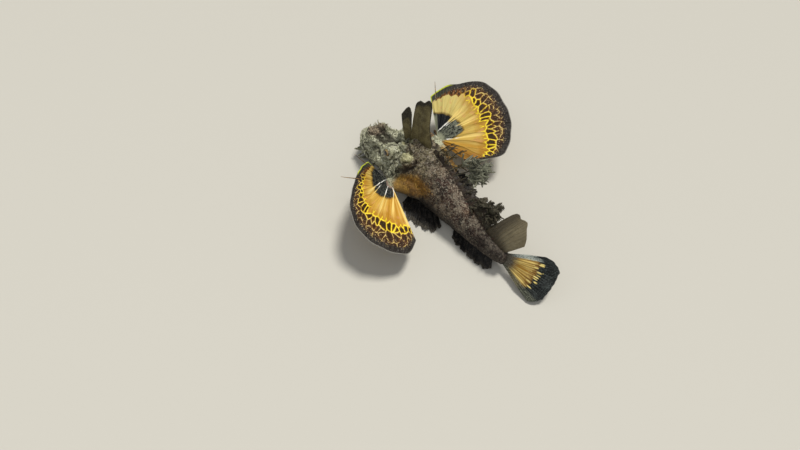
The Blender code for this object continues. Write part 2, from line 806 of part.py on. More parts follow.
def make_walking_rays(material):
    """The two free lower rays of each pectoral fin, bent down to the floor like fingers."""
    thick, thin = WALKING_RADII
    for side, sign in SIDES.items():
        pivot = PIVOTS[side]
        for number, (start, ahead, aside) in enumerate(WALKING_RAYS, start=1):
            level = pivot.z
            root = pivot + Vector((start * MM, 0, -1.5 * MM))
            knee = pivot + Vector(((start + ahead * 0.5) * MM, sign * aside * 0.6 * MM, -4 * MM))
            shin = pivot + Vector((ahead * 0.86 * MM, sign * aside * 0.9 * MM, 2.5 * MM - level))
            toe = pivot + Vector((ahead * MM, sign * aside * MM, 0.75 * MM - level))
            nail = pivot + Vector(((ahead + 4) * MM, sign * (aside + 1.2) * MM, 0.65 * MM - level))
            path = bend([root, knee, shin, toe, nail], 9)
            radii = [(thick + (thin - thick) * k / 8) * MM for k in range(9)]
            ray = sweep("ray", path, radii, sides=8, floor=0.0)
            apply_boolean(ray, "DIFFERENCE", [pectoral_lobe(side, GAP), body_cutter()])
            finish(ray, f"walking_ray_{side}_{number}", material)


# Where the pelvic fins grow from front to rear, their first and last direction in degrees, their length
PELVIC_STATIONS = (60 * MM, 84 * MM)
PELVIC_TURNS = (102, 154)
PELVIC_LENGTH = Profile([(0, 18), (0.35, 27), (0.7, 28), (1, 19)])


def between(pair, share):
    return pair[0] + (pair[1] - pair[0]) * share


def make_pelvics(material):
    """The broad pelvic fins, spread flat on the floor beside the belly."""
    rays = 6
    count = 2 * rays + 1
    for side, sign in SIDES.items():
        lines = []
        for i in range(count):
            share = i / (count - 1)
            station = between(PELVIC_STATIONS, share)
            root = place(station, sign * half_width_at(station) * 0.45, 2.6 * MM)
            turn = math.radians(sign * between(PELVIC_TURNS, share))
            out = Vector((math.cos(turn), math.sin(turn), 0))
            length = PELVIC_LENGTH(share) * MM
            if i % 2 == 0 and 0 < i < count - 1:
                length -= 1.0 * MM
            row = []
            for j in range(5):
                reach = j / 4
                level = 2.6 * MM - 1.6 * MM * reach ** 0.8
                row.append(Vector((root.x, root.y, 0)) + out * (length * reach) + Vector((0, 0, level)))
            lines.append(row)
        fin = fin_sheet("pelvic", lines, ray_half=0.65 * MM, web_half=0.30 * MM)
        apply_boolean(fin, "DIFFERENCE", [body_cutter(), pectoral_lobe(side, GAP)])
        finish(fin, f"pelvic_fin_{side}", material)


def ridge(station, sunk=0.0):
    """The top of the back at a station, or a point sunk below it."""
    return place(station, -lean_at(station), high_at(station) - sunk)


def upright_lines(rows, depth, sunk):
    """Rows of points for a fin on the back. A row is station, height, forward shift, lean to the right."""
    lines = []
    for station, height, ahead, lean in rows:
        foot = ridge(station * MM, sunk)
        forward, left = forward_at(station * MM), left_at(station * MM)
        angle = math.radians(lean)
        line = []
        for j in range(depth):
            reach = j / (depth - 1)
            bow = math.sin(angle * (0.35 + 0.65 * reach))
            up = Vector((0, 0, 1)) * math.sqrt(1 - bow**2) - left * bow
            line.append(foot + up * ((height * MM + sunk) * reach) + forward * (ahead * MM * reach))
        lines.append(line)
    return lines


# The crest in millimetres and degrees: station, height, forward shift of the edge, and lean to the right
CREST = (
    (38.0, 25, 9.5, 10),
    (38.5, 31.5, 7.3, 10),
    (39.0, 34, 5.2, 10),
    (39.5, 32, 3.3, 10),
    (40.0, 27, 2.0, 10),
    (40.7, 11, 0.8, 10),
    (41.5, 10, 0.8, 10),
    (42.6, 37, 4.0, 11),
    (45.0, 40, 4.0, 12),
    (48.0, 37, 4.5, 14),
    (51.0, 39.5, 5.0, 16),
    (54.0, 36, 6.0, 18),
    (56.5, 18, 4.5, 18),
    (58.5, 9, 2.0, 18),
    (60.5, 5, 0.0, 18),
)
# How deep the roots of the fins on the back are sunk
SUNK = 3 * MM


def make_crest(material):
    """The first three dorsal spines: a short one, and two tall ones joined by a broad web."""
    crest = fin_sheet("crest", upright_lines(CREST, 7, SUNK), ray_half=1.0 * MM, web_half=0.42 * MM)
    apply_boolean(crest, "DIFFERENCE", [body_cutter()])
    finish(crest, "dorsal_crest", material)


SPINY_DORSAL = (63.5 * MM, 131.5 * MM)
DORSAL_SPINES = 13
FLAG_WIDTH = 3.2 * MM
FLAG_THICK = 1.3 * MM
# Along the spiny part from front to rear: height of the web, length of a spine, lean to the right
WEB_HEIGHT = Profile([(0, 4.5), (0.45, 4.5), (0.7, 8), (0.88, 14), (1, 12.5)])
SPINE_LENGTH = Profile([(0, 21), (0.2, 21), (0.35, 25), (0.48, 22), (0.6, 12), (0.7, 13), (0.9, 19), (1, 18)])
SPINE_LEAN = Profile([(0, 20), (0.2, 42), (0.35, 60), (0.6, 60), (0.8, 52), (1, 46)])


def make_spiny_dorsal(material):
    """The low web along the back and the flat, flap-tipped spines that stand from it."""
    start, end = SPINY_DORSAL
    count = 2 * DORSAL_SPINES + 1
    rows = []
    for i in range(count):
        share = i / (count - 1)
        station = (start + (end - start) * share) / MM
        height = WEB_HEIGHT(share) - (1.2 if i % 2 == 0 else 0)
        rows.append((station, height, -1.0, SPINE_LEAN(share)))
    web = fin_sheet("web", upright_lines(rows, 4, SUNK), ray_half=0.7 * MM, web_half=0.36 * MM)
    draw = random.Random(11)
    vanes = []
    for i in range(DORSAL_SPINES):
        share = (2 * i + 1) / (count - 1)
        station = start + (end - start) * share
        lean = math.radians(SPINE_LEAN(share) + draw.uniform(-6, 6))
        left, forward = left_at(station), forward_at(station)
        up = Vector((0, 0, math.cos(lean))) - left * math.sin(lean) - forward * draw.uniform(0.1, 0.5)
        length = (SPINE_LENGTH(share) + draw.uniform(-1.5, 1.5)) * MM
        root = ridge(station)
        vanes.append(vane(root, up, forward, length, FLAG_WIDTH, FLAG_THICK, curl=-0.1, tip=0.6, sunk=SUNK))
    apply_boolean(web, "UNION", vanes)
    apply_boolean(web, "DIFFERENCE", [body_cutter()])
    finish(web, "dorsal_fin_spiny", material)


# The soft dorsal from front to rear: station, forward shift of its edge and height in millimetres, then
# its lean to the right in degrees
SOFT_STATIONS = (134, 154)
SOFT_AHEAD = (-7, -11)
SOFT_HEIGHT = Profile([(0, 19), (0.1, 24), (0.3, 27.5), (0.55, 27.5), (0.75, 24.5), (0.9, 19.5), (1, 12)])
SOFT_LEAN = 42
# The anal fin from front to rear: station, and how far to the left its edge lies in millimetres
ANAL_STATIONS = (106 * MM, 148 * MM)
ANAL_EDGE = Profile([(0, 9), (0.15, 14), (0.6, 13.5), (0.9, 11.5), (1, 8)])
# Fins that lie along the floor stay this much above it
FLOOR_MARGIN = 0.75 * MM
# How much shorter the web is than its rays at the edge
NOTCH = 0.8


def make_soft_dorsal(material):
    """The rounded, soft-rayed rear lobe of the dorsal fin, which flops to the right."""
    rays = 8
    count = 2 * rays + 1
    rows = []
    for i in range(count):
        share = i / (count - 1)
        height = SOFT_HEIGHT(share) - (NOTCH if i % 2 == 0 and 0 < i < count - 1 else 0)
        rows.append((between(SOFT_STATIONS, share), height, between(SOFT_AHEAD, share), SOFT_LEAN))
    fin = fin_sheet("soft", upright_lines(rows, 7, SUNK), ray_half=0.6 * MM, web_half=0.30 * MM)
    apply_boolean(fin, "DIFFERENCE", [body_cutter()])
    finish(fin, "dorsal_fin_soft", material)


def make_anal(material):
    """The long anal fin, folded to the fish's left so that its margin lies along the floor."""
    rays = 9
    count = 2 * rays + 1
    lines = []
    for i in range(count):
        share = i / (count - 1)
        station = between(ANAL_STATIONS, share)
        root = place(station, 0, low_at(station) + 2.0 * MM)
        edge = ANAL_EDGE(share) * MM
        if i % 2 == 0 and 0 < i < count - 1:
            edge -= NOTCH * MM
        tip = place(station + 5 * MM, edge, FLOOR_MARGIN)
        belly = place(station + 2 * MM, edge * 0.5, max(low_at(station) - 1.8 * MM, FLOOR_MARGIN))
        lines.append(bend([root, belly, tip], 5))
    fin = fin_sheet("anal", lines, ray_half=0.6 * MM, web_half=0.32 * MM)
    apply_boolean(fin, "DIFFERENCE", [body_cutter()])
    finish(fin, "anal_fin", material)


# The tail fin: heading of its axis against +X, the swing of its lower edge and the spread to its upper edge
TAIL_HEADING = 8.5
TAIL_SWING = (-17, 48)


# The length of the tail fin in millimetres from its lowest to its highest ray
TAIL_LENGTH = Profile([(0, 37), (0.12, 41), (0.25, 43), (0.5, 43.5), (0.75, 43.5), (0.92, 38), (1, 31)])


def make_caudal(material):
    """The round tail fin, rolled over to the right so that its left face looks up."""
    rays = 10
    count = 2 * rays + 1
    axis_turn = math.radians(TAIL_HEADING)
    back = -Vector((math.cos(axis_turn), math.sin(axis_turn), 0.10)).normalized()
    root_centre = place(BODY_LENGTH - 3 * MM, 0, 14.2 * MM)
    lines = []
    for i in range(count):
        share = i / (count - 1)
        swing = math.radians(TAIL_SWING[0] + TAIL_SWING[1] * share)
        length = TAIL_LENGTH(share) * MM
        if i % 2 == 0 and 0 < i < count - 1:
            length -= NOTCH * MM
        row = []
        for j in range(7):
            reach = j / 6
            roll = math.radians(18 + 36 * min(reach * 1.6, 1.0))
            up = Vector((0, 0, math.cos(roll))) - left_at(BODY_LENGTH) * math.sin(roll)
            root = root_centre + up * (-4.2 * MM + 8.4 * MM * share)
            out = back * math.cos(swing) + up * math.sin(swing)
            point = root + out * (length * reach)
            point.z = max(point.z, FLOOR_MARGIN)
            row.append(point)
        lines.append(row)
    fin = fin_sheet("caudal", lines, ray_half=0.7 * MM, web_half=0.32 * MM)
    apply_boolean(fin, "DIFFERENCE", [body_cutter()])
    finish(fin, "caudal_fin", material)


def main():
    for thing in list(bpy.data.objects):
        bpy.data.objects.remove(thing)
    skin = make_material("body skin", SKIN_BROWN, 0.7)
    head_skin = make_material("head skin", HEAD_GREY, 0.8)
    orange = make_material("orange fin", FIN_ORANGE, 0.45)
    dark = make_material("dark fin", FIN_DARK, 0.6)
    olive = make_material("olive fin", DORSAL_OLIVE, 0.6)
    gold = make_material("eye", EYE_GOLD, 0.1)
    make_head(head_skin)
    make_trunk(skin)
    make_eyes(gold)
    make_pectorals(orange, skin)
    make_walking_rays(skin)
    make_pelvics(dark)
    make_crest(olive)
    make_spiny_dorsal(olive)
    make_soft_dorsal(olive)
    make_anal(dark)
    make_caudal(orange)


main()
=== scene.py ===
# %% [markdown]
# A demon stinger is a bottom-living stingfish. This lesson dresses the plain solids of one in a warty skin,
# fans of painted membrane, ragged flaps and wet eyes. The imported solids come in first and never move. All
# lengths are metres, +X points to the head, +Y to the fish's left and +Z up.

# %% Load the frame
import math
import random

import bpy
import numpy as np
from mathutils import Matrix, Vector, noise
from mathutils.bvhtree import BVHTree


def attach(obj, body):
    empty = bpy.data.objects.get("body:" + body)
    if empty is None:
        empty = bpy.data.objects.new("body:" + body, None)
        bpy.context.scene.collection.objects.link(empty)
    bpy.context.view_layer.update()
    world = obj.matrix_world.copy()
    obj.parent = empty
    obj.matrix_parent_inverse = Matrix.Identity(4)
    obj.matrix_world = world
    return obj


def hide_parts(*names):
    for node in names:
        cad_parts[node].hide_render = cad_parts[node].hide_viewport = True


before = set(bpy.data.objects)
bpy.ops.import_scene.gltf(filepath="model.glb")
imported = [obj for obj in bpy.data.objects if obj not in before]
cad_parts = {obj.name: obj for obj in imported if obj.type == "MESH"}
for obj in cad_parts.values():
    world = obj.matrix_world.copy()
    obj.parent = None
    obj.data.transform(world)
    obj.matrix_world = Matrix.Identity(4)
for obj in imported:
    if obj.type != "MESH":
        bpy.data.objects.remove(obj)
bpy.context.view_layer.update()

# %% [markdown]
# A fish is drawn along its midline. Every place on it is a station, which is how far back it lies from the
# jaws, a distance to the left, and a height. A few rows of widths and levels, joined by a smooth curve that
# never overshoots, give the whole body, so the fins and flaps can ask the same functions where the skin is.

# %% Midline and cross-sections
MM = 0.001
BODY_LENGTH = 158 * MM
BELLY_STATION = 62 * MM
SIDES = {"left": 1, "right": -1}
UP = np.array([0.0, 0.0, 1.0])
# Station in millimetres and heading of the midline against +X in degrees
HEADING = ((0, 22), (15, 21), (30, 15), (45, 5), (60, -3), (80, -5.5), (120, -4.5), (145, 0), (158, 5))
# Station, half width, lowest, highest and widest level, and lean of the ridge to the right, in millimetres
SECTIONS = (
    (0, 6.5, 8.5, 20.0, 13.5, 0.0),
    (2, 9.5, 5.0, 25.0, 13.5, 0.0),
    (6, 12.0, 2.6, 30.0, 12.5, 0.0),
    (12, 13.8, 1.4, 31.0, 12.0, 0.3),
    (20, 16.0, 0.9, 27.0, 11.5, 0.5),
    (28, 19.0, 0.4, 27.0, 12.0, 1.0),
    (36, 21.8, -0.3, 30.5, 13.5, 2.0),
    (44, 22.8, -0.8, 37.5, 15.5, 3.2),
    (52, 21.8, -0.9, 42.5, 17.5, 4.0),
    (62, 19.0, -0.9, 44.0, 18.5, 4.0),
    (78, 16.2, -0.8, 42.0, 18.0, 3.2),
    (94, 14.0, -0.3, 38.0, 17.0, 2.2),
    (110, 11.4, 1.2, 33.0, 16.0, 1.2),
    (126, 9.0, 3.4, 28.0, 15.0, 0.6),
    (142, 7.2, 6.0, 23.5, 14.4, 0.2),
    (152, 6.0, 7.6, 21.0, 14.2, 0.0),
    (158, 4.6, 8.6, 19.8, 14.2, 0.0),
)
# Squareness of the section above and below its widest level at each station: 2 is an ellipse
BACK_POWER = ((0, 2.4), (20, 2.7), (36, 2.5), (50, 1.9), (80, 1.8), (130, 2.0), (158, 2.2))
BELLY_POWER = ((0, 2.4), (20, 3.0), (60, 3.2), (100, 2.8), (158, 2.2))


class Profile:
    """A smooth curve through rows of place and value, flat past its ends, with no overshoot."""

    def __init__(self, rows, unit=1.0, scale=1.0):
        self.places = np.array([row[0] * unit for row in rows])
        self.values = np.array([row[1] * scale for row in rows])
        rises = np.diff(self.values) / np.diff(self.places)
        inner = [2 * a * b / (a + b) if a * b > 0 else 0.0 for a, b in zip(rises, rises[1:])]
        self.slopes = np.array([rises[0], *inner, rises[-1]])

    def __call__(self, at):
        at = np.clip(at, self.places[0], self.places[-1])
        i = np.clip(np.searchsorted(self.places, at, side="right") - 1, 0, len(self.places) - 2)
        span = self.places[i + 1] - self.places[i]
        t = (at - self.places[i]) / span
        rise = self.values[i + 1] - self.values[i]
        early, late = span * self.slopes[i] - rise, rise - span * self.slopes[i + 1]
        return self.values[i] + t * rise + t * (1 - t) * ((1 - t) * early + t * late)


def columns_of(rows, unit=1.0, scale=MM):
    """The columns after a table's first one, each as a smooth curve over it."""
    places, *columns = zip(*rows)
    return [Profile(list(zip(places, column)), unit, scale) for column in columns]


heading_at = Profile(HEADING, MM)
half_width_at, low_at, high_at, widest_at, lean_at = columns_of(SECTIONS, MM)
back_power_at = Profile(BACK_POWER, MM)
belly_power_at = Profile(BELLY_POWER, MM)

STATIONS = np.arange(-20, 220) * MM


def midline():
    """Places on the floor under the midline at each of the stations."""
    turns = np.radians(heading_at(STATIONS[:-1] + 0.5 * MM))
    steps = -MM * np.stack([np.cos(turns), np.sin(turns)], axis=1)
    path = np.vstack([[0, 0], np.cumsum(steps, axis=0)])
    return path - path[np.searchsorted(STATIONS, BELLY_STATION - 0.1 * MM)]


MIDLINE = midline()


def vec(x, y, z):
    return np.stack(np.broadcast_arrays(np.asarray(x, float), y, z), axis=-1)


def forward_at(station):
    turn = np.radians(heading_at(station))
    return vec(np.cos(turn), np.sin(turn), 0.0)


def left_at(station):
    turn = np.radians(heading_at(station))
    return vec(-np.sin(turn), np.cos(turn), 0.0)


def place(station, lateral, level):
    """The point so far left of the midline and so high above the floor at a station."""
    x = np.interp(station, STATIONS, MIDLINE[:, 0])
    y = np.interp(station, STATIONS, MIDLINE[:, 1])
    return vec(x, y, level) + left_at(station) * np.asarray(lateral, float)[..., None]


def section_point(station, turn, grow=0.0):
    """A point of the body: turn 0 is the left flank, a quarter turn the ridge. grow moves it outwards."""
    across, up = np.cos(turn), np.sin(turn)
    power = np.where(up >= 0, back_power_at(station), belly_power_at(station))
    across = np.sign(across) * np.abs(across) ** (2 / power)
    up = np.sign(up) * np.abs(up) ** (2 / power)
    wide = widest_at(station)
    above = wide + (high_at(station) + grow - wide) * up
    below = wide + (wide - low_at(station) + grow) * up
    lateral = (half_width_at(station) + grow) * across - lean_at(station) * np.maximum(up, 0) ** 1.5
    return place(station, lateral, np.maximum(np.where(up >= 0, above, below), -grow))


def unit(vectors):
    return vectors / np.maximum(np.linalg.norm(vectors, axis=-1, keepdims=True), 1e-12)


print("length along the midline", BODY_LENGTH, "highest ridge", round(float(high_at(BELLY_STATION)), 4))

# %% [markdown]
# Every step below uses a few hand tools. A primitive is added alone in the selection, its points are moved in
# code to where the fish's own functions want them, and modifiers are applied as they come. A finished piece
# rides on the one body and hides the plain solids that it stands for, if any.

# %% Hand tools for meshes
def add(operator, name, **sizes):
    """Adds one primitive, alone in the selection, and names it."""
    bpy.ops.object.select_all(action="DESELECT")
    operator(**sizes)
    piece = bpy.context.object
    piece.name = piece.data.name = name
    return piece


def only(*pieces):
    """Makes these pieces the whole selection, the first one active."""
    bpy.ops.object.select_all(action="DESELECT")
    for piece in pieces:
        piece.select_set(True)
    bpy.context.view_layer.objects.active = pieces[0]
    return pieces[0]


def settle(piece):
    """Moves a piece's place, turn and size into its mesh."""
    only(piece)
    bpy.ops.object.transform_apply(location=True, rotation=True, scale=True)
    return piece


def modify(piece, kind, **settings):
    """Adds a modifier with these settings and applies it."""
    only(piece)
    modifier = piece.modifiers.new(kind.title(), kind)
    for setting, value in settings.items():
        setattr(modifier, setting, value)
    bpy.ops.object.modifier_apply(modifier=modifier.name)
    return piece


def join(name, pieces):
    """Several pieces as one object."""
    whole = only(*pieces)
    if len(pieces) > 1:
        bpy.ops.object.join()
    whole.name = whole.data.name = name
    return whole


def read(items, name):
    """Three numbers of each item of a mesh."""
    values = np.empty(len(items) * 3)
    items.foreach_get(name, values)
    return values.reshape(-1, 3)


def points_of(piece):
    return read(piece.data.vertices, "co")


def normals_of(piece):
    return read(piece.data.vertices, "normal")


def move_points(piece, points):
    piece.data.vertices.foreach_set("co", np.asarray(points, float).ravel())
    piece.data.update()


def remember(piece, name, values):
    """Keeps three numbers for each point, for a material to read by name."""
    attribute = piece.data.attributes.new(name, "FLOAT_VECTOR", "POINT")
    attribute.data.foreach_set("vector", np.asarray(values, float).ravel())


def edit_faces(piece, operator, **settings):
    """Runs one mesh operator on all faces of a piece."""
    only(piece)
    bpy.ops.object.mode_set(mode="EDIT")
    bpy.ops.mesh.select_all(action="SELECT")
    operator(**settings)
    bpy.ops.object.mode_set(mode="OBJECT")
    return piece


def outwards(piece):
    """Turns all faces of a closed piece outwards."""
    return edit_faces(piece, bpy.ops.mesh.normals_make_consistent, inside=False)


def tube(name, path, radii, around=3):
    """A closed round tube along points, as thick as its radii, bevelled from a curve and made a mesh."""
    bpy.ops.object.select_all(action="DESELECT")
    bpy.ops.curve.primitive_nurbs_path_add()
    piece = bpy.context.object
    line = piece.data
    line.splines.clear()
    spline = line.splines.new("POLY")
    spline.points.add(len(path) - 1)
    for point, at, radius in zip(spline.points, path, radii):
        point.co = (*at, 1.0)
        point.radius = radius / MM
    line.dimensions = "3D"
    line.bevel_depth = MM
    line.bevel_resolution = around
    line.use_fill_caps = True
    bpy.ops.object.convert(target="MESH")
    piece = bpy.context.object
    piece.name = piece.data.name = name
    return modify(outwards(modify(piece, "WELD", merge_threshold=0.01 * MM)), "TRIANGULATE")


def curve_through(points, count):
    """Evenly shared points on the one smooth curve that the given points pull on."""
    level = [np.asarray(point, float)[None] for point in points]
    t = np.linspace(0, 1, count)[:, None]
    while len(level) > 1:
        level = [a * (1 - t) + b * t for a, b in zip(level, level[1:])]
    return level[0]


def dress(piece, slot, materials, *nodes):
    """The finish of every piece: materials, smooth shading, body and the solids that it replaces; slot is not
    used.
    """
    for material in materials:
        piece.data.materials.append(material)
    piece.data.shade_smooth()
    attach(piece, "root")
    if nodes:
        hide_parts(*nodes)
    print(piece.name, len(piece.data.polygons), "faces")
    return piece


# %% [markdown]
# A material is a recipe of nodes. Written as arithmetic it stays readable, so one small class wraps a socket:
# adding or multiplying two of them adds Math nodes, and one method makes any other node from its kind, its
# settings and its inputs.

# %% Shader arithmetic
def put(value, socket):
    """Links a Paint to a socket, or sets the socket to a plain value."""
    if isinstance(value, Paint):
        value.tree.links.new(value.socket, socket)
    else:
        socket.default_value = value


class Paint:
    """A socket of a material's nodes that Python arithmetic can use."""

    def __init__(self, tree, socket=None):
        self.tree = tree
        self.socket = socket

    def node(self, kind, settings=None, inputs=None, out=0):
        """Adds a node: first its settings, then the values or links of its sockets."""
        made = self.tree.nodes.new("ShaderNode" + kind)
        for name, value in (settings or {}).items():
            setattr(made, name, value)
        for name, value in (inputs or {}).items():
            put(value, made.inputs[name])
        return Paint(self.tree, made.outputs[out])

    def math(self, operation, *values):
        return self.node("Math", {"operation": operation}, dict(enumerate(values)))

    def __add__(self, other):
        return self.math("ADD", self, other)

    __radd__ = __add__

    def __sub__(self, other):
        return self.math("SUBTRACT", self, other)

    def __rsub__(self, other):
        return self.math("SUBTRACT", other, self)

    def __mul__(self, other):
        return self.math("MULTIPLY", self, other)

    __rmul__ = __mul__

    def __truediv__(self, other):
        return self.math("DIVIDE", self, other)

    def __rtruediv__(self, other):
        return self.math("DIVIDE", other, self)

    def at_most(self, other):
        return self.math("MINIMUM", self, other)

    def at_least(self, other):
        return self.math("MAXIMUM", self, other)

    def rise(self, low, high):
        """0 below low, 1 above high, and smooth between. low may be above high, which turns it round."""
        ends = {"From Min": min(low, high), "From Max": max(low, high)}
        step = self.node("MapRange", {"interpolation_type": "SMOOTHSTEP"}, {"Value": self, **ends})
        return 1 - step if low > high else step

    def blend(self, *tints):
        """The first colour where this mask is 0, the second where it is 1."""
        first, second = (tint if isinstance(tint, Paint) else (*tint, 1.0) for tint in tints)
        return self.node("Mix", {"data_type": "RGBA"}, {0: self, 6: first, 7: second}, out=2)

    def moved(self, other, operation="ADD"):
        """This vector and another through Vector Math."""
        return self.node("VectorMath", {"operation": operation}, {0: self, 1: other})

    def along(self, direction):
        """How far this vector reaches along a direction."""
        return self.node("VectorMath", {"operation": "DOT_PRODUCT"}, {0: self, 1: tuple(direction)}, out=1)

    def part(self, index):
        return self.node("SeparateXYZ", {}, {0: self}, out=index)

    def parts(self):
        return [self.part(index) for index in range(3)]

    def abs(self):
        return self.math("ABSOLUTE", self)

    def kept(self, name):
        """The three numbers that a piece keeps for each point under a name."""
        return self.node("Attribute", {"attribute_name": name}, out=1)

    def shaken(self, size, amount):
        """This vector, pushed about by noise with lumps of about a size."""
        push = self.grain(size, 2.0, 0.5, out=1).moved((0.5, 0.5, 0.5), "SUBTRACT")
        return self.moved(push.moved((amount, amount, amount), "MULTIPLY"))

    def grain(self, size, detail=2.0, rough=0.5, out=0):
        """Soft noise with lumps of about a size, on this vector."""
        inputs = {"Vector": self, "Scale": 1 / size, "Detail": detail, "Roughness": rough}
        return self.node("TexNoise", {}, inputs, out)

    def cells(self, size, feature="F1", loose=1.0, flat=False, out=0):
        """Cells of about a size on this vector: the distance to their centres, or to their edges."""
        settings = {"feature": feature, "voronoi_dimensions": "2D" if flat else "3D"}
        inputs = {"Vector": self, "Scale": 1 / size, "Randomness": loose}
        return self.node("TexVoronoi", settings, inputs, out)


def flat_vector(x, y):
    """A vector of two sockets, with no height."""
    return x.node("CombineXYZ", {}, {0: x, 1: y})


def layered(colour, *coats):
    """Coats over a first colour, each a mask and the colour that shows where the mask is 1."""
    for mask, tint in coats:
        colour = mask.blend(colour, tint)
    return colour


def new_material(name):
    """A material and a Paint to start expressions from."""
    material = bpy.data.materials.new(name)
    material.use_nodes = True
    return material, Paint(material.node_tree)


def finish_material(material, colour, rough, height, depth, **sockets):
    """Gives the material's Principled shader its colour, roughness, relief and whatever else it needs."""
    shader = material.node_tree.nodes["Principled BSDF"]
    bump = height.node("Bump", {}, {"Height": height, "Distance": depth, "Strength": 1.0})
    sockets.update({"Base_Color": colour, "Roughness": rough, "Normal": bump})
    for name, value in sockets.items():
        put(value, shader.inputs[name.replace("_", " ")])
    return material


# %% [markdown]
# The camera stands where the photographer floated, behind the fish and to its left and some sixty degrees up.
# Its place follows from where the belly lies in the picture, two angles, the distance and the focal length. A
# pale floor, a hazy sun, two soft lamps and a bright room make the studio. The sun stands to the right and
# beyond the fish, so the shadows of the raised fans fall towards the camera's lower left. The film look that
# Blender starts with greys out strong oranges and yellows. The plain Standard view shows paints as they are
# mixed, so it is used here, with light weak enough to keep the floor just under white.

# %% Camera, lights and floor
PICTURE = (800, 450)
BELLY_PIXEL = (425, 185)
FOCAL_PIXELS = 693
SENSOR = 36 * MM
VIEW_RISE = math.radians(60)
VIEW_TURN = math.radians(131)
DISTANCE = 573 * MM
picture_right = Vector((math.cos(VIEW_TURN), -math.sin(VIEW_TURN), 0))
picture_away = Vector((math.sin(VIEW_TURN), math.cos(VIEW_TURN), 0))
look = picture_away * math.cos(VIEW_RISE) - Vector((0, 0, math.sin(VIEW_RISE)))
picture_up = picture_away * math.sin(VIEW_RISE) + Vector((0, 0, math.cos(VIEW_RISE)))
across_picture = (BELLY_PIXEL[0] - PICTURE[0] / 2) / FOCAL_PIXELS
up_picture = (PICTURE[1] / 2 - BELLY_PIXEL[1]) / FOCAL_PIXELS
camera_place = -(look + picture_right * across_picture + picture_up * up_picture) * DISTANCE

bpy.ops.object.select_all(action="DESELECT")
bpy.ops.object.camera_add(location=camera_place, rotation=look.to_track_quat("-Z", "Y").to_euler())
camera = bpy.context.object
camera.data.sensor_width = SENSOR / MM
camera.data.lens = FOCAL_PIXELS * camera.data.sensor_width / PICTURE[0]
camera.data.clip_start = 1 * MM
bpy.context.scene.camera = camera
bpy.context.scene.view_settings.view_transform = "Standard"


def soft_lamp(kind, name, towards, distance, power, tint):
    """A lamp that looks at the fish from a direction."""
    towards = Vector(towards).normalized()
    bpy.ops.object.select_all(action="DESELECT")
    turn = (-towards).to_track_quat("-Z", "Y").to_euler()
    bpy.ops.object.light_add(type=kind, location=towards * distance, rotation=turn)
    lamp = bpy.context.object
    lamp.name = name
    lamp.data.energy = power
    lamp.data.color = tint
    return lamp.data


FLOOR_COLOUR = (0.55, 0.535, 0.485, 1.0)
AIR_COLOUR = (0.97, 0.98, 1.0, 1.0)
AIR_STRENGTH = 0.3
key_way = picture_right * 0.3 + picture_away * 0.28 + Vector((0, 0, 1.0))
fill_way = -picture_right * 0.9 - picture_away * 0.3 + Vector((0, 0, 0.9))
front_way = -picture_away * 0.9 + picture_right * 0.2 + Vector((0, 0, 1.4))
soft_lamp("SUN", "key lamp", key_way, 0.9, 2.85, (1.0, 0.97, 0.9)).angle = math.radians(14)
soft_lamp("AREA", "fill lamp", fill_way, 1.1, 0.6, (0.92, 0.97, 1.0)).size = 0.9
soft_lamp("AREA", "front lamp", front_way, 1.2, 1.5, (1.0, 0.99, 0.96)).size = 1.0
world = bpy.data.worlds.new("studio air")
world.use_nodes = True
air = world.node_tree.nodes["Background"]
air.inputs["Color"].default_value = AIR_COLOUR
air.inputs["Strength"].default_value = AIR_STRENGTH
bpy.context.scene.world = world

floor = add(bpy.ops.mesh.primitive_plane_add, "studio_floor", size=40)
floor_material, _ = new_material("pale floor")
floor_shader = floor_material.node_tree.nodes["Principled BSDF"]
floor_shader.inputs["Base Color"].default_value = FLOOR_COLOUR
floor_shader.inputs["Roughness"].default_value = 0.85
floor.data.materials.append(floor_material)
print("camera at", [round(x, 3) for x in camera_place], "lens", round(camera.data.lens, 2))

# %% [markdown]
# The skin of head, body, tail stalk and fleshy fin bases is one piece on the real fish, with no seam. It
# could be drawn face by face, but soft flesh is easier to model as clay: closed forms are pushed into each
# other, a voxel remesh fuses them into one even surface, and a smoothing pass melts the joints. The body is a
# sphere whose poles become snout and tail root. The brow turrets, snout hump, nostril bulbs, chin, cheeks,
# nape, lips, lids and the bases of the pectoral fins are forms of their own.

# %% The forms under the skin
EYE_STATION = 33 * MM
EYE_LATERAL = 9.5 * MM
EYE_LEVEL = 28.5 * MM
EYE_RADIUS = 4.2 * MM
EYE_PROUD = 4.6 * MM
PIVOTS = {"left": np.array([9.9, 28.6, 17.5]) * MM, "right": np.array([17.5, -29.4, 17.5]) * MM}
VOXEL = 0.52 * MM
# The fin base: share of the way out, then its spread ahead and behind and its thickness in millimetres
LOBE = (
    (0.0, 13.0, 17.0, 9.5),
    (0.25, 11.5, 14.0, 8.2),
    (0.45, 9.0, 10.0, 6.2),
    (0.62, 7.6, 7.4, 4.4),
    (0.78, 6.6, 5.6, 3.2),
    (0.92, 5.2, 4.4, 2.2),
    (1.0, 2.6, 2.4, 1.2),
)


def eye_frame(sign):
    """The centre of an eye and the direction that it looks."""
    knob = place(EYE_STATION, sign * EYE_LATERAL, EYE_LEVEL)
    look_way = unit(forward_at(EYE_STATION) * 0.35 + left_at(EYE_STATION) * 0.8 * sign + UP * 0.5)
    return knob + look_way * EYE_PROUD, look_way


def ball_to(name, segments, rings, point_at):
    """A sphere whose points go where point_at(share from pole to pole, turn about the axis) says."""
    piece = add(bpy.ops.mesh.primitive_uv_sphere_add, name, segments=segments, ring_count=rings, radius=1)
    start = points_of(piece)
    share = np.arccos(np.clip(start[:, 2], -1, 1)) / np.pi
    turn = np.arctan2(start[:, 1], start[:, 0])
    move_points(piece, point_at(share, turn))
    return outwards(piece)


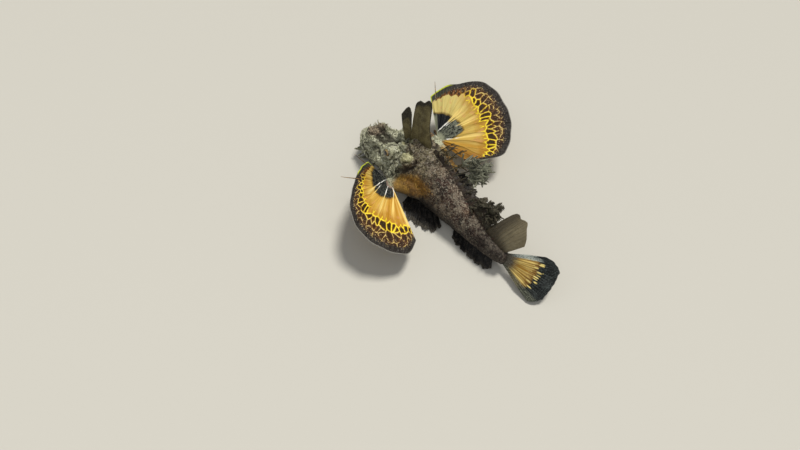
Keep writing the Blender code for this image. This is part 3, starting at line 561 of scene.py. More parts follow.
def body_form(share, turn):
    cap = 0.04
    station = BODY_LENGTH * np.clip((share - cap) / (1 - 2 * cap), 0, 1)
    end = np.minimum(np.minimum(share, 1 - share) / cap, 1)
    centre = place(station, 0 * station, widest_at(station))
    swell = np.sin(end * np.pi / 2)[:, None]
    bulge = forward_at(station) * ((1 - end) * np.sign(0.5 - share) * 1.2 * MM)[:, None]
    return centre + (section_point(station, turn) - centre) * swell + bulge


def lobe_form(side):
    """The fleshy base of a pectoral fin: broad on the flank, a thick disc round the pivot."""
    sign, pivot = SIDES[side], PIVOTS[side]
    root = place(BELLY_STATION + 4 * MM, sign * 8 * MM, 17 * MM)
    along = pivot - root
    reach = np.linalg.norm(along) + 6 * MM
    along = unit(along)
    aside = unit(np.cross(UP, along))
    up = np.cross(along, aside)
    ahead_at, behind_at, thick_at = columns_of(LOBE)

    def point_at(share, turn):
        end = np.minimum(np.minimum(share, 1 - share) / 0.03, 1)
        across, rise = np.cos(turn) * end, np.sin(turn) * end
        wide = np.where(across * sign > 0, behind_at(share), ahead_at(share))
        centre = root + along * (share * reach)[:, None]
        return centre + aside * (wide * across)[:, None] + up * (thick_at(share) * rise)[:, None]

    return point_at


def lump(name, station, lateral, level, radii):
    """A ball of flesh, its first radius along the fish, all in millimetres."""
    at = place(station * MM, lateral * MM, level * MM)
    turn = math.radians(float(heading_at(station * MM)))
    radii = [radius * MM for radius in radii]
    sizes = {"segments": 32, "ring_count": 18, "radius": 1}
    sizes.update(location=at, rotation=(0, 0, turn), scale=radii)
    return settle(add(bpy.ops.mesh.primitive_uv_sphere_add, name, **sizes))


def gape_points(count):
    """The line of the mouth from the right corner over the front of the snout to the left corner."""
    t = np.linspace(-1, 1, count)
    station = -0.5 * MM + 12.0 * MM * (1 - np.cos(t * np.pi / 2))
    return t, place(station, 12.6 * MM * np.sin(t * np.pi / 2), 24.0 * MM - 13.0 * MM * np.abs(t) ** 1.4)


def lips():
    t, gape = gape_points(25)
    nose_way = forward_at(0.0)
    swell = np.cos(t * np.pi / 2)
    upper = tube("upper lip", gape + UP * 1.7 * MM - nose_way * 1.3 * MM, (1.0 + 0.9 * swell) * MM)
    lower = tube("lower lip", gape - UP * 1.6 * MM + nose_way * 0.9 * MM, (1.3 + 1.1 * swell) * MM)
    return [upper, lower]


def lid_ring(sign):
    centre, look_way = eye_frame(sign)
    turn = Vector(look_way).to_track_quat("Z", "Y").to_euler()
    sizes = {"major_radius": 4.2 * MM, "minor_radius": 1.3 * MM, "major_segments": 36, "minor_segments": 12}
    ring_place = centre + look_way * 1.4 * MM
    return settle(add(bpy.ops.mesh.primitive_torus_add, "lid", location=ring_place, rotation=turn, **sizes))


# Lumps in millimetres: station, lateral, level and radii. A lump with a pair has its twin on the right side
LUMPS = (
    (7, 0, 26.5, (6, 6.5, 6), "single"),
    (2.5, 0, 10, (6.5, 9, 7), "single"),
    (12, 7, 28, (4.8, 3.8, 4.6), "pair"),
    (33, 8.7, 28.5, (7.6, 6.0, 8.0), "pair"),
    (52.0, 12.6, 37.0, (5.4, 5.2, 4.6), "single"),
    (40.5, 3.6, 34.5, (5.5, 3.6, 5.2), "pair"),
    (48.0, 4.2, 38.5, (6.5, 4.0, 4.8), "pair"),
    (17, 12.5, 15, (7, 4, 4.5), "pair"),
    (29, 16, 19.5, (8, 4.5, 4), "pair"),
    (42, 19, 15, (7, 5, 6.5), "pair"),
)
forms = [ball_to("body", 88, 150, body_form)]
forms += [ball_to("fin base", 48, 40, lobe_form(side)) for side in SIDES]
for station, lateral, level, radii, kind in LUMPS:
    for sign in SIDES.values() if kind == "pair" else (1,):
        forms.append(lump("lump", station, sign * lateral, level, radii))
forms += lips() + [lid_ring(sign) for sign in SIDES.values()]
skin = join("skin", forms)
modify(skin, "REMESH", mode="VOXEL", voxel_size=VOXEL)
modify(skin, "SMOOTH", factor=0.6, iterations=7)
print("skin fused into", len(skin.data.vertices), "points")

# %% [markdown]
# Now the clay is worked. Each point finds its own station and side, and moves along its normal by a sum of
# folds, creases, warts and grain, strong on the head and weaker on the body, and by a groove along the mouth.
# Creases, cracks and the groove are kept as a mask too, so that the paint can darken them as painted shade.
# A second mask holds painted shade on the low flanks and under the head, and the darker tail stalk. The
# skin is tucked under the eyeballs inside the lids, and pressed flat on the floor under the belly.

# %% Working the skin
# Creases on both sides of the head in millimetres: points of station and distance aside, width and depth
CREASES = (
    (((15, 3.5), (24, 1.0), (31, 0.0), (36, 0.5)), 2.6, 2.2),
    (((39, 0.0), (41, 3), (44, 4.5), (48, 7), (52, 7.6)), 1.0, 1.3),
    (((28, 11.7), (30.5, 9.2), (35, 7.8)), 1.1, 1.3),
    (((44, 21.5), (47, 20.5), (53.5, 18), (57.5, 15.5), (60.5, 12.5), (60, 9)), 1.3, 2.0),
    (((12, 12), (18, 11), (22, 13)), 1.2, 1.2),
    (((3, 4), (10, 4.2), (13, 2.6)), 0.9, 1.2),
    (((36, 21), (38, 16), (43, 14), (46, 16)), 1.0, 1.2),
)
# Strength, station, lateral, level and size in millimetres of spots: orange on the fin bases, on both sides,
# rosy on snout and ridge, the ridge's rosy partly its colour and partly painted light along the top, and pale
# on the nape and at the crest's foot
RUBBED = ((1, 60, 23, 19, 9), (1, 70, 17, 24, 8), (0.45, 80, 16, 26, 9))
ROSY = (
    (1, 8.5, 0, 31, 6.5),
    (1, 12, -5, 30, 4),
    # The two ridge spots: partly the ridge's pinkish colour, partly painted light along the top
    (0.45, 80, 0, 43, 9),
    (0.45, 98, 1, 39, 7),
    (0.6, 116, 1, 30, 7),
)
PALE = ((1, 52, 12.6, 40, 5.6), (1, 40, 3.5, 39, 2), (1, 42, -1, 39, 2))


def smooth_step(low, high, value):
    t = np.clip((value - low) / (high - low), 0, 1)
    return t * t * (3 - 2 * t)


def stations_of(points):
    """The station of each point and how far left of the midline it lies."""
    fine = np.arange(-12, 200, 0.5) * MM
    line = place(fine, 0 * fine, 0.0)[:, :2]
    nearest = np.empty(len(points), int)
    for start in range(0, len(points), 4000):
        chunk = points[start:start + 4000, None, :2]
        nearest[start:start + 4000] = np.argmin(((chunk - line) ** 2).sum(axis=2), axis=1)
    station = fine[nearest]
    lateral = ((points[:, :2] - line[nearest]) * left_at(station)[:, :2]).sum(axis=1)
    return station, lateral


def waves(points, size, seed):
    """Smooth noise from -1 to 1 with lumps of about a size."""
    shift = Vector((seed * 17.3, seed * 5.1, seed * 9.7))
    return np.array([noise.noise(Vector(point) + shift) for point in points / size])


def rubble(points, size, seed):
    """Cells of about a size: round warts, 1 at their middles, and cracks, 1 between them."""
    shift = Vector((seed * 3.7, seed * 11.9, seed * 7.3))
    near = np.array([noise.voronoi(Vector(point) + shift)[0][:2] for point in points / size])
    return 1 - smooth_step(0.05, 0.6, near[:, 0]), 1 - smooth_step(0.0, 0.2, near[:, 1] - near[:, 0])


def beside_line(places, line):
    """How far each place is from a bent line on a flat map, both in the same unit."""
    nearest = np.full(len(places), 1e9)
    for start, end in zip(np.array(line[:-1], float), np.array(line[1:], float)):
        along = end - start
        t = np.clip(((places - start) @ along) / (along @ along), 0, 1)
        nearest = np.minimum(nearest, np.linalg.norm(places - start - t[:, None] * along, axis=1))
    return nearest


def distances(points, at):
    return np.linalg.norm(points - at, axis=1)


def spots(points, rows, sign=1):
    """The sum of soft round masks, each a strength, a place and a size in millimetres."""
    total = 0.0
    for strength, station, lateral, level, size in rows:
        at = place(station * MM, sign * lateral * MM, level * MM)
        total = total + strength * np.exp(-((distances(points, at) / (size * MM)) ** 2))
    return total


def work_skin():
    points, normals = points_of(skin), normals_of(skin)
    station, lateral = stations_of(points)
    facing_up = np.clip(normals[:, 2] * 1.5, 0, 1)
    wobble = waves(points, 5 * MM, 1) * 4 * MM
    head = 1 - smooth_step(38 * MM, 46 * MM, station + wobble - 0.55 * np.abs(lateral))
    folds, folds_small = waves(points, 9 * MM, 2), waves(points, 4.2 * MM, 3)
    knobs, cracks = rubble(points + waves(points, 3 * MM, 4)[:, None] * 0.7 * MM, 3.4 * MM, 6)
    pebbles, slits = rubble(points, 1.7 * MM, 7)
    rough = 0.3 + 0.7 * head
    patchy = smooth_step(-0.35, 0.25, waves(points, 7 * MM, 8))
    deep = np.zeros(len(points))
    map_places = np.stack([station, np.abs(lateral)], axis=1) / MM
    map_places = map_places + np.stack([folds_small, folds], axis=1) * 1.2
    for line, width, depth in CREASES:
        deep += depth * np.exp(-((beside_line(map_places, line) / width) ** 2)) * facing_up
    rise = folds * (0.35 + 0.55 * head) + folds_small * (0.25 + 0.4 * head)
    rise += (knobs * 0.85 - cracks * 0.75 * patchy) * rough
    rise += (pebbles * 0.38 - slits * 0.22) * (0.45 + 0.55 * head)
    rise -= deep
    calm = smooth_step(0.0, 4 * MM, points[:, 2])
    for side, sign in SIDES.items():
        calm *= 0.35 + 0.65 * smooth_step(5 * MM, 8 * MM, distances(points, eye_frame(sign)[0]))
        calm *= 0.35 + 0.65 * smooth_step(4 * MM, 12 * MM, distances(points, PIVOTS[side]))
    _, gape = gape_points(60)
    lip = np.min([distances(points, row) for row in gape], axis=0)
    calm *= 0.45 + 0.55 * smooth_step(2.5 * MM, 6 * MM, lip)
    groove = np.exp(-((lip / (1.4 * MM)) ** 2))
    worked = points + normals * ((rise * calm - groove * 1.3) * MM)[:, None]
    for sign in SIDES.values():
        worked = open_lids(worked, *eye_frame(sign))
    worked[:, 2] = np.maximum(worked[:, 2], 0.05 * MM)
    move_points(skin, worked)
    base = sum(spots(points, RUBBED, sign) for sign in SIDES.values())
    base = np.clip(base * 1.3, 0, 1) * smooth_step(11 * MM, 19 * MM, points[:, 2])
    # Painted shade: the flanks darken towards the belly and the head towards its underside, and the tail
    # stalk is darker in tone
    shade = smooth_step(112 * MM, 142 * MM, station) * 0.78
    level = (points[:, 2] + wobble * 0.5) / high_at(station)
    painted_low_shade = head * (1 - smooth_step(0.12, 0.34, level)) + (1 - head) * (1 - smooth_step(0.26, 0.68, level))
    shade = np.maximum(shade, painted_low_shade)
    rosy, pale = spots(points, ROSY), spots(points, PALE)
    # Painted shade in the creases, cracks, slits and the mouth groove
    dark = np.clip(deep * 0.65 + cracks * patchy * 0.42 * rough + slits * 0.12 + groove, 0, 1)
    regions, tints = np.stack([head, base, dark], axis=1), np.stack([shade, rosy, pale], axis=1)
    remember(skin, "regions", regions)
    remember(skin, "tints", tints)
    return regions, tints


def open_lids(points, centre, look_way):
    """Tucks the skin in front of an eyeball behind it, and keeps the rest just clear of it."""
    out = points - centre
    far = np.linalg.norm(out, axis=1)
    way = unit(out)
    facing = way @ look_way
    brow = unit(UP - look_way * look_way[2])
    opening = 0.66 + 0.22 * np.abs(way @ brow)
    inside = smooth_step(opening - 0.05, opening + 0.04, facing)
    tucked = np.minimum(far, EYE_RADIUS - 0.8 * MM)
    clear = np.maximum(far, EYE_RADIUS + 0.25 * MM)
    near = far < EYE_RADIUS + 4 * MM
    new_far = np.where(near, clear * (1 - inside) + tucked * inside, far)
    return centre + way * new_far[:, None]


skin_regions, skin_tints = work_skin()
print("skin worked:", len(skin.data.polygons), "faces")

# %% [markdown]
# The fish is coloured to vanish on the sea bed: the head sandy grey-green and gritty, the body purple-brown
# with dark red-brown blotches and pale specks, the fin bases rubbed orange. A picture could be painted and
# wrapped round it, but noise and cells on object coordinates need no unwrapping, never repeat, and give
# the flaps that grow from the skin the same markings as the skin under them.

# %% Skin paint
CHIP = 1.25 * MM


def skin_material(name, relief, wash=None):
    """The mottled skin. A wash is one more colour laid unevenly over all of it."""
    material, paint = new_material(name)
    spot = paint.node("TexCoord", out=3)
    head, base, crease_shade = paint.kept("regions").parts()
    shade, rosy, pale = paint.kept("tints").parts()
    broad = spot.grain(11 * MM, 3.0, 0.6)
    middle = spot.grain(4 * MM, 3.0, 0.6)
    fine = spot.grain(1.2 * MM, 3.0, 0.65)
    nape = (spot.part(0) + (broad - 0.5) * 30 * MM).rise(-32 * MM, 2 * MM)
    loose = spot.shaken(1.5 * MM, 1.2 * MM)
    chip = loose.cells(CHIP, out=1).part(0)
    gap = loose.cells(CHIP, "DISTANCE_TO_EDGE")
    grit = spot.cells(0.6 * MM, out=1).part(1)

    brown = broad.rise(0.41, 0.59).blend((0.046, 0.032, 0.025), (0.235, 0.186, 0.138))
    olive = broad.rise(0.38, 0.62).blend((0.105, 0.088, 0.046), (0.25, 0.212, 0.122))
    trunk = layered(
        nape.blend(brown, olive),
        (spot.grain(6 * MM, 4.0, 0.7).rise(0.53, 0.62) * 0.75, (0.33, 0.262, 0.195)),
        (spot.grain(8 * MM, 3.0, 0.6).rise(0.53, 0.58) * (0.8 - nape * 0.5), (0.066, 0.024, 0.018)),
        (middle.rise(0.52, 0.6) * (0.85 - nape * 0.5), (0.046, 0.018, 0.012)),
        (chip.rise(0.5, 0.95) * fine.rise(0.42, 0.6) * 0.85, (0.42, 0.37, 0.28)),
        (chip.rise(0.38, 0.05) * 0.75, (0.022, 0.016, 0.011)),
    )
    sandy = layered(
        broad.rise(0.35, 0.65).blend((0.4, 0.405, 0.265), (0.6, 0.6, 0.41)),
        (middle.rise(0.58, 0.7) * 0.6, (0.27, 0.205, 0.122)),
        (chip.rise(0.45, 0.92) * 0.8, (0.78, 0.78, 0.6)),
        (chip.rise(0.36, 0.05) * 0.75, (0.09, 0.095, 0.062)),
    )
    rusty = layered(
        broad.rise(0.4, 0.6).blend((0.26, 0.13, 0.02), (0.52, 0.3, 0.055)),
        (fine.rise(0.5, 0.35) * 0.3, (0.15, 0.075, 0.015)),
    )
    pinkish = chip.rise(0.3, 0.8).blend((0.105, 0.06, 0.038), (0.29, 0.2, 0.13))
    creamy = chip.rise(0.1, 0.9).blend((0.4, 0.385, 0.195), (0.65, 0.63, 0.36))

    colour = layered(
        (head + (broad - 0.5) * 0.9 + (fine - 0.5) * 0.4).rise(0.18, 0.82).blend(trunk, sandy),
        ((base + (broad - 0.5) * 0.7 + (chip - 0.5) * 0.35).rise(0.2, 1.05), rusty),
        (rosy.rise(0.15, 0.7) * 0.8, pinkish),
        (pale.rise(0.25, 0.6) * 0.9, creamy),
        (grit.rise(0.25, 0.0) * (0.5 - base * 0.4), (0.03, 0.024, 0.016)),
        (grit.rise(0.8, 1.0) * (0.4 - base * 0.3), (0.62, 0.59, 0.48)),
        # Painted shade in the creases and in the cracks between the chips
        ((crease_shade + gap.rise(0.09, 0.0) * 0.4).at_most(1.0) * 0.9, (0.022, 0.016, 0.011)),
        # Painted shade on the low flanks and under the head, and the darker tail stalk
        (shade * 0.85, (0.014, 0.011, 0.009)),
    )
    if wash:
        colour = (0.2 + fine * 0.9).at_most(1.0).blend(colour, wash)
    height = fine * 0.5 + chip * 0.35 + gap.at_most(0.3) * 1.3 + grit * 0.25
    return finish_material(material, colour, 0.5 + grit * 0.3, height, relief, Specular_IOR_Level=0.3)


skin_paint = skin_material("mottled skin", 0.55 * MM)
SKIN_NODES = ("head", "trunk_front", "trunk_rear", "tail_stalk", "pectoral_base_left", "pectoral_base_right")
dress(skin, "body_skin", [skin_paint], *SKIN_NODES)

# %% [markdown]
# A stinger's eye is small and glassy, a gold-flecked iris round a dark pupil that lies like a slot. The ball
# is one sphere with its front pushed out a little for the cornea. The iris is painted by the angle from the
# line of sight, which object coordinates give once they are centred and turned on the eye, and a clear coat
# gives the wet highlight.

# %% Eyes
def eye_material(side, centre, look_way):
    material, paint = new_material(f"eye {side}")
    spot = paint.node("TexCoord", out=3)
    local = spot.moved(tuple(-centre))
    brow = unit(UP - look_way * look_way[2])
    centre_gap = 1 - local.along(look_way / EYE_RADIUS)
    upward = local.along(brow / EYE_RADIUS)
    slot_gap = centre_gap + upward * upward * 0.55
    flecks = spot.grain(0.5 * MM, 3.0, 0.6)
    colour = layered(
        flecks.rise(0.35, 0.65).blend((0.1, 0.055, 0.015), (0.42, 0.3, 0.1)),
        (centre_gap.rise(0.16, 0.3), (0.055, 0.04, 0.022)),
        (slot_gap.rise(0.1, 0.07), (0.004, 0.004, 0.005)),
        (centre_gap.rise(0.34, 0.42), (0.1, 0.085, 0.055)),
    )
    return finish_material(material, colour, 0.12, flecks, 0.05 * MM, Coat_Weight=1.0, Coat_Roughness=0.02)


for side, sign in SIDES.items():
    eye_centre, eye_look = eye_frame(sign)
    sizes = {"segments": 48, "ring_count": 32, "radius": EYE_RADIUS}
    eye = add(bpy.ops.mesh.primitive_uv_sphere_add, f"eyeball_{side}", **sizes)
    ball = points_of(eye)
    front = np.clip(unit(ball) @ eye_look, 0, 1)
    move_points(eye, eye_centre + ball * (1 + 0.1 * smooth_step(0.75, 1.0, front))[:, None])
    dress(eye, "eye", [eye_material(side, eye_centre, eye_look)], f"eye_{side}")

# %% [markdown]
# A fin is a thin web stretched between rays that fork towards the margin. It could be cut from a plane ray by
# ray, but the rays have to swell out of the web's own surface. So a fine grid is bent to the fin's shape, a
# weight says how near each point is to a ray, and Solidify gives rays and web their own thickness and
# closes the rim. The lay of the web, in millimetres, is kept for the paint.

# %% Fins from grids
THINNEST_WEB = 0.16 * MM


def ray_gap(spread, reach, rays, forks):
    """How far a place is from the nearest branch of a ray, as a share of the space between two rays."""
    phase = (spread * rays) % 1.0 - 0.5
    gap = np.abs(phase)
    for number, start in enumerate(forks, start=1):
        apart = 0.25 / number * smooth_step(start, start + 0.35, reach)
        gap = np.abs(gap - apart)
    return gap


def sheet(name, columns, rows, point_at):
    """A grid whose points go where point_at(spread, reach) says, both from 0 to 1."""
    sizes = {"x_subdivisions": columns, "y_subdivisions": rows, "size": 1}
    piece = add(bpy.ops.mesh.primitive_grid_add, name, **sizes)
    start = points_of(piece) + 0.5
    spread, reach = start[:, 0], start[:, 1]
    points = point_at(spread, reach)
    move_points(piece, points)
    return piece, spread, reach, points, normals_of(piece)


def row_lengths(point_at, reach):
    """How far along one row of a fin each of many even shares lies, and the fin's length there."""
    shares = np.linspace(0, 1, 200)
    row = point_at(shares, np.full(200, reach))
    lengths = np.concatenate([[0], np.cumsum(np.linalg.norm(np.diff(row, axis=0), axis=1))])
    spans = np.linalg.norm(point_at(shares, np.ones(200)) - point_at(shares, np.zeros(200)), axis=1)
    return shares, lengths, spans


def fin(name, columns, rows, point_at, rays, ray, web, forks=(0.35,), pleat=0.0, top=UP):
    """A fin with rays, in metres thick at the root: its web, its forking rays and its pleats."""
    piece, spread, reach, points, normals = sheet(name, columns, rows, point_at)
    step = 0.002
    after = point_at(np.minimum(spread + step, 1), reach)
    before = point_at(np.maximum(spread - step, 0), reach)
    apart = np.linalg.norm(after - before, axis=1) / (2 * step * rays)
    gap = ray_gap(spread, reach, rays, forks) * apart
    width = 0.42 * ray * (1.2 - 0.5 * reach) + 0.12 * MM
    near = np.exp(-((gap / width) ** 2))
    web_thick, ray_thick = web * (1 - 0.35 * reach), ray * (1 - 0.6 * reach)
    thick = np.maximum(web_thick + (ray_thick - web_thick) * near, THINNEST_WEB)
    wave = pleat * np.sin(np.pi * np.clip(reach * 1.1, 0, 1)) * np.cos(2 * np.pi * (spread * rays - 0.5))
    move_points(piece, points + normals * wave[:, None])
    if (normals @ top).mean() < 0:
        edit_faces(piece, bpy.ops.mesh.flip_normals)
    shares, lengths, spans = row_lengths(point_at, 0.7)
    across, span = np.interp(spread, shares, lengths) / MM, np.interp(spread, shares, spans) / MM
    remember(piece, "place", np.stack([spread, reach, near], axis=1))
    remember(piece, "lay", np.stack([across, span * reach, span], axis=1))
    group = piece.vertex_groups.new(name="thickness")
    most = thick.max()
    for index, weight in enumerate(thick / most):
        group.add([index], float(weight), "REPLACE")
    settings = {"thickness": most, "offset": 0.0, "vertex_group": "thickness", "material_offset": 1}
    modify(piece, "SOLIDIFY", use_rim=True, material_offset_rim=1, **settings)
    return piece


# %% [markdown]
# The upper face of each pectoral fan is the warning that the fish flashes: a black patch crossed by white
# rays at the root, orange and cream beyond, then a bright yellow net round dark brown cells, rows of pale
# specks and a dusky margin. Real nets of this kind grow as cells round pigment centres, which is just what
# cell noise draws, so the net is the edge of a flat cell pattern laid out in millimetres on the web.

# %% Fan paint
NET_CELL = 0.078
NET_ROWS = 9.5
NET_START = 6.0
# The share of the fan's reach where the net begins, along its spread from the head to the tail
NET_EDGE = {
    "left": ((0, 0.8), (0.3, 0.78), (0.47, 0.73), (0.59, 0.67), (0.8, 0.61), (0.9, 0.61), (1, 0.74)),
    "right": ((0, 0.86), (0.15, 0.81), (0.31, 0.73), (0.42, 0.67), (0.57, 0.64), (0.8, 0.73), (0.95, 1.1)),
}
# The pale rays: spread, offset from the pivot, then in millimetres where each starts, turns from white to
# cream and ends, and half its width
PALE_RAYS = {
    "left": (
        (0.62, 2.7, 3, 15, 33, 0.42),
        (0.655, 2.2, 9, 14, 30, 0.26),
        (0.745, 0.5, 1, 13, 38, 0.3),
        (0.84, -0.85, 2, 10, 36, 0.3),
        (0.995, 0.0, 0, 6, 70, 0.28),
    ),
    "right": (
        (0.42, 2.1, 5, 15, 36, 0.5),
        (0.458, 2.1, 11, 15, 35, 0.26),
        (0.385, 1.8, 12, 15, 36, 0.22),
        (0.53, 1.2, 16, 17, 39, 0.34),
        (0.56, 1.2, 19, 19, 37, 0.22),
        (0.67, -0.45, 12, 15, 42, 0.42),
        (0.71, 0.0, 4.5, 9.5, 11, 0.4),
        (0.755, 0.0, 5, 8, 12, 0.22),
    ),
}
# The dark patch: how far out it reaches in millimetres, and the spread where it starts to shrink and ends
DARK_PATCH = {"left": (18.3, 0.55, 1.5), "right": (20.0, 0.58, 0.82)}
# The field between patch and net at the fan's front, middle and rear
FIELD = {
    "left": ((0.43, 0.3, 0.065), (0.64, 0.4, 0.07), (0.6, 0.31, 0.04)),
    "right": ((0.58, 0.49, 0.17), (0.62, 0.45, 0.11), (0.5, 0.29, 0.045)),
}
# The wrinkled skin at the root: how far out it reaches in millimetres, and its colour
FOLDS = {"left": (4.0, (0.26, 0.19, 0.15)), "right": (6.0, (0.3, 0.31, 0.22))}
# The spread up to which the margin of the fan is yellow-green
GREEN_END = {"left": 0.3, "right": 0.16}


def web_of(paint):
    """What a fin keeps for its paint: spread, reach, nearness to a ray, and the lay of the web."""
    return *paint.kept("place").parts(), paint.kept("lay")


def net_places(side, spread, reach, point_at):
    """Where each point lies on the net: cells as wide as a share of the fan's own length there."""
    shares, lengths, spans = row_lengths(point_at, 0.8)
    steps = np.diff(lengths) / (NET_CELL * spans[1:])
    count = np.concatenate([[0], np.cumsum(steps)])
    rows = NET_START + NET_ROWS * (reach - Profile(NET_EDGE[side])(spread))
    return vec(np.interp(spread, shares, count), rows, 0.0)


def pale_rays(side, spread, out, streak):
    """The masks of the white part and the cream part of the pale rays."""
    white, cream = 0.0, 0.0
    for middle, offset, start, turn, end, half in PALE_RAYS[side]:
        aside = spread - middle
        if offset:
            aside = aside + offset / (out + 0.5)
        gap = aside.abs() * (out + 2.0) * 2.4
        wider = half * (1 + (out - turn).at_least(0.0) * 0.16)
        line = (gap / wider).rise(1.35, 0.55) * out.rise(start - 0.5, start + 1.5)
        later = (out + streak * 3.0).rise(turn - 1.5, turn + 4.5)
        white = (line * (1 - later)).at_least(white)
        cream = (line * later * (out + streak * 9.0).rise(end + 4.0, end - 9.0)).at_least(cream)
    return white, cream


def fan_material(side):
    material, paint = new_material(f"pectoral fan {side}")
    spread, reach, near, lay = web_of(paint)
    net_at = paint.kept("net")
    across, out = lay.part(0), lay.part(1)
    soft = lay.grain(7.0, 3.0, 0.6) - 0.5
    speck = lay.grain(0.9, 3.0, 0.6)
    streak = flat_vector(spread * 80.0, reach * 1.6).grain(1.0, 3.0, 0.6)
    wide_streak = flat_vector(spread * 24.0, reach * 1.2).grain(1.0, 2.0, 0.5)

    # The field between root and net
    front_tint, middle_tint, rear_tint = FIELD[side]
    by_net = (net_at.part(1) + soft * 2.5).rise(NET_START - 2.0, NET_START - 0.3)
    blush = lay.grain(5.0, 2.0, 0.5).rise(0.56, 0.66) * out.rise(18.0, 26.0)
    field = layered(
        (spread + soft * 0.15).rise(0.18, 0.5).blend(front_tint, middle_tint),
        ((spread + soft * 0.15).rise(0.55, 0.9), rear_tint),
        (wide_streak.rise(0.48, 0.64) * 0.45, (0.76, 0.56, 0.17)),
        (wide_streak.rise(0.46, 0.32) * 0.45, (0.42, 0.19, 0.018)),
        (streak.rise(0.54, 0.72) * 0.4, (0.82, 0.6, 0.18)),
        (streak.rise(0.44, 0.28) * 0.35, (0.36, 0.15, 0.012)),
        (by_net * spread.rise(0.2, 0.4) * 0.7, (0.4, 0.17, 0.008)),
        (blush * 0.45, (0.64, 0.31, 0.13)),
    )

    # The black patch at the root, its veins and the pale rays that cross it
    size, fade, end = DARK_PATCH[side]
    edge = size - (spread - fade).at_least(0.0) * (size / (end - fade)) + soft * 4.0
    patch = (edge - out).rise(-0.9, 0.5) * spread.rise(0.97, 0.91)
    rusty_rim = (edge - out).rise(-2.4, -0.6) * spread.rise(0.99, 0.92)
    loose = lay.shaken(2.5, 2.0)
    veins = (loose.grain(3.2, 2.0, 0.5) - 0.5).abs().rise(0.06, 0.02)
    if side == "right":
        below_ray = (spread + 2.1 / (out + 0.5)).rise(0.43, 0.5)
        veins = (veins + loose.grain(4.0, 2.0, 0.5).rise(0.5, 0.56) * 0.6).at_most(1.0) * below_ray
    else:
        veins = veins * 0.35
    black = layered(
        (veins * 0.85).blend((0.008, 0.009, 0.011), (0.23, 0.245, 0.185)),
        (speck.rise(0.58, 0.66) * 0.25, (0.16, 0.17, 0.16)),
    )
    white, cream = pale_rays(side, spread, out, streak)
    folds_end, folds = FOLDS[side]
    root = layered(
        field,
        (rusty_rim * 0.75, (0.12, 0.06, 0.008)),
        (patch, black),
        (cream * 0.85, (0.9, 0.68, 0.22)),
        (white, (0.9, 0.9, 0.85)),
        ((out + soft * 2.0).rise(folds_end, 1.8), folds),
    )
    if side == "right":
        rear_streaks = streak.rise(0.4, 0.6).blend((0.12, 0.045, 0.006), (0.33, 0.14, 0.016))
        front_folds = spread.rise(0.07, 0.03) * out.rise(21.0, 17.0)
        root = layered(root, (front_folds, folds), (spread.rise(0.83, 0.93) * 0.8, rear_streaks))

    # The net and its cells
    warped = net_at.shaken(1.4, 0.55)
    net_edge = warped.cells(1.0, "DISTANCE_TO_EDGE", 0.9, flat=True)
    cell_level = warped.cells(1.0, "F1", 0.9, flat=True, out=2).part(1)
    inside = cell_level.math("GREATER_THAN", cell_level, NET_START)
    far = cell_level.rise(NET_START + 0.1, NET_START + 1.9)
    line = (net_edge / (0.12 - far * 0.065)).rise(1.25, 0.6)
    above_centre = (warped.part(1) - cell_level).rise(0.05, 0.2)
    bordering = above_centre * cell_level.rise(NET_START - 1.1, NET_START - 0.9)
    net = (inside * line + (1 - inside) * line * bordering) * (spread + soft * 0.1).rise(0.22, 0.38)
    cell = layered(
        net_edge.rise(0.34, 0.12).blend((0.022, 0.012, 0.006), (0.19, 0.066, 0.007)),
        (net_edge.rise(0.3, 0.42) * speck.rise(0.45, 0.6) * 0.7, (0.085, 0.062, 0.014)),
        (far * 0.85, speck.rise(0.48, 0.68).blend((0.03, 0.015, 0.009), (0.1, 0.048, 0.022))),
    )
    lit = (lay.grain(2.4, 2.0, 0.5) + 0.08 - far * 0.1).rise(0.4, 0.5)
    unlit = far.blend((0.33, 0.15, 0.014), (0.09, 0.045, 0.02))
    gold = (far + (speck - 0.5) * 0.5).rise(0.1, 0.7).blend((0.95, 0.74, 0.04), (0.64, 0.47, 0.16))
    colour = layered(root, (inside, cell), (net.at_most(1.0), lit.blend(unlit, gold)))

    # The dusky margin, its rows of specks and its yellow-green end
    rim = reach + soft * 0.04 + spread.rise(0.3, 0.1) * 0.04
    dusk = layered(
        streak.rise(0.35, 0.7).blend((0.014, 0.011, 0.009), (0.034, 0.029, 0.025)),
        (speck.rise(0.52, 0.66) * 0.5, (0.13, 0.12, 0.11)),
    )
    dots = flat_vector(across / 1.4, out / 2.3).cells(1.0, "F1", 0.9, flat=True).rise(0.24, 0.12)
    dots = dots * rim.rise(0.78, 0.82) * rim.rise(0.96, 0.91) * speck.rise(0.46, 0.56)
    green_end = GREEN_END[side]
    green = spread.rise(green_end + 0.03, green_end - 0.03) * reach.rise(0.965, 0.98)
    green = green.at_least(spread.rise(0.012, 0.004) * reach.rise(0.8, 0.9))
    colour = layered(
        colour,
        (rim.rise(0.87, 0.93), dusk),
        (dots * 0.8, (0.6, 0.45, 0.24)),
        (reach.rise(0.985, 0.998) * spread.rise(0.3, 0.5), (0.26, 0.25, 0.22)),
        (spread.rise(0.2, 0.06) * reach.rise(0.8, 0.88), (0.04, 0.042, 0.028)),
        (green, (0.52, 0.58, 0.03)),
    )
    height = near * 0.6 + streak * 0.5 + speck * 0.2 + net * 0.3
    return finish_material(material, colour, 0.55, height, 0.25 * MM, Specular_IOR_Level=0.15)


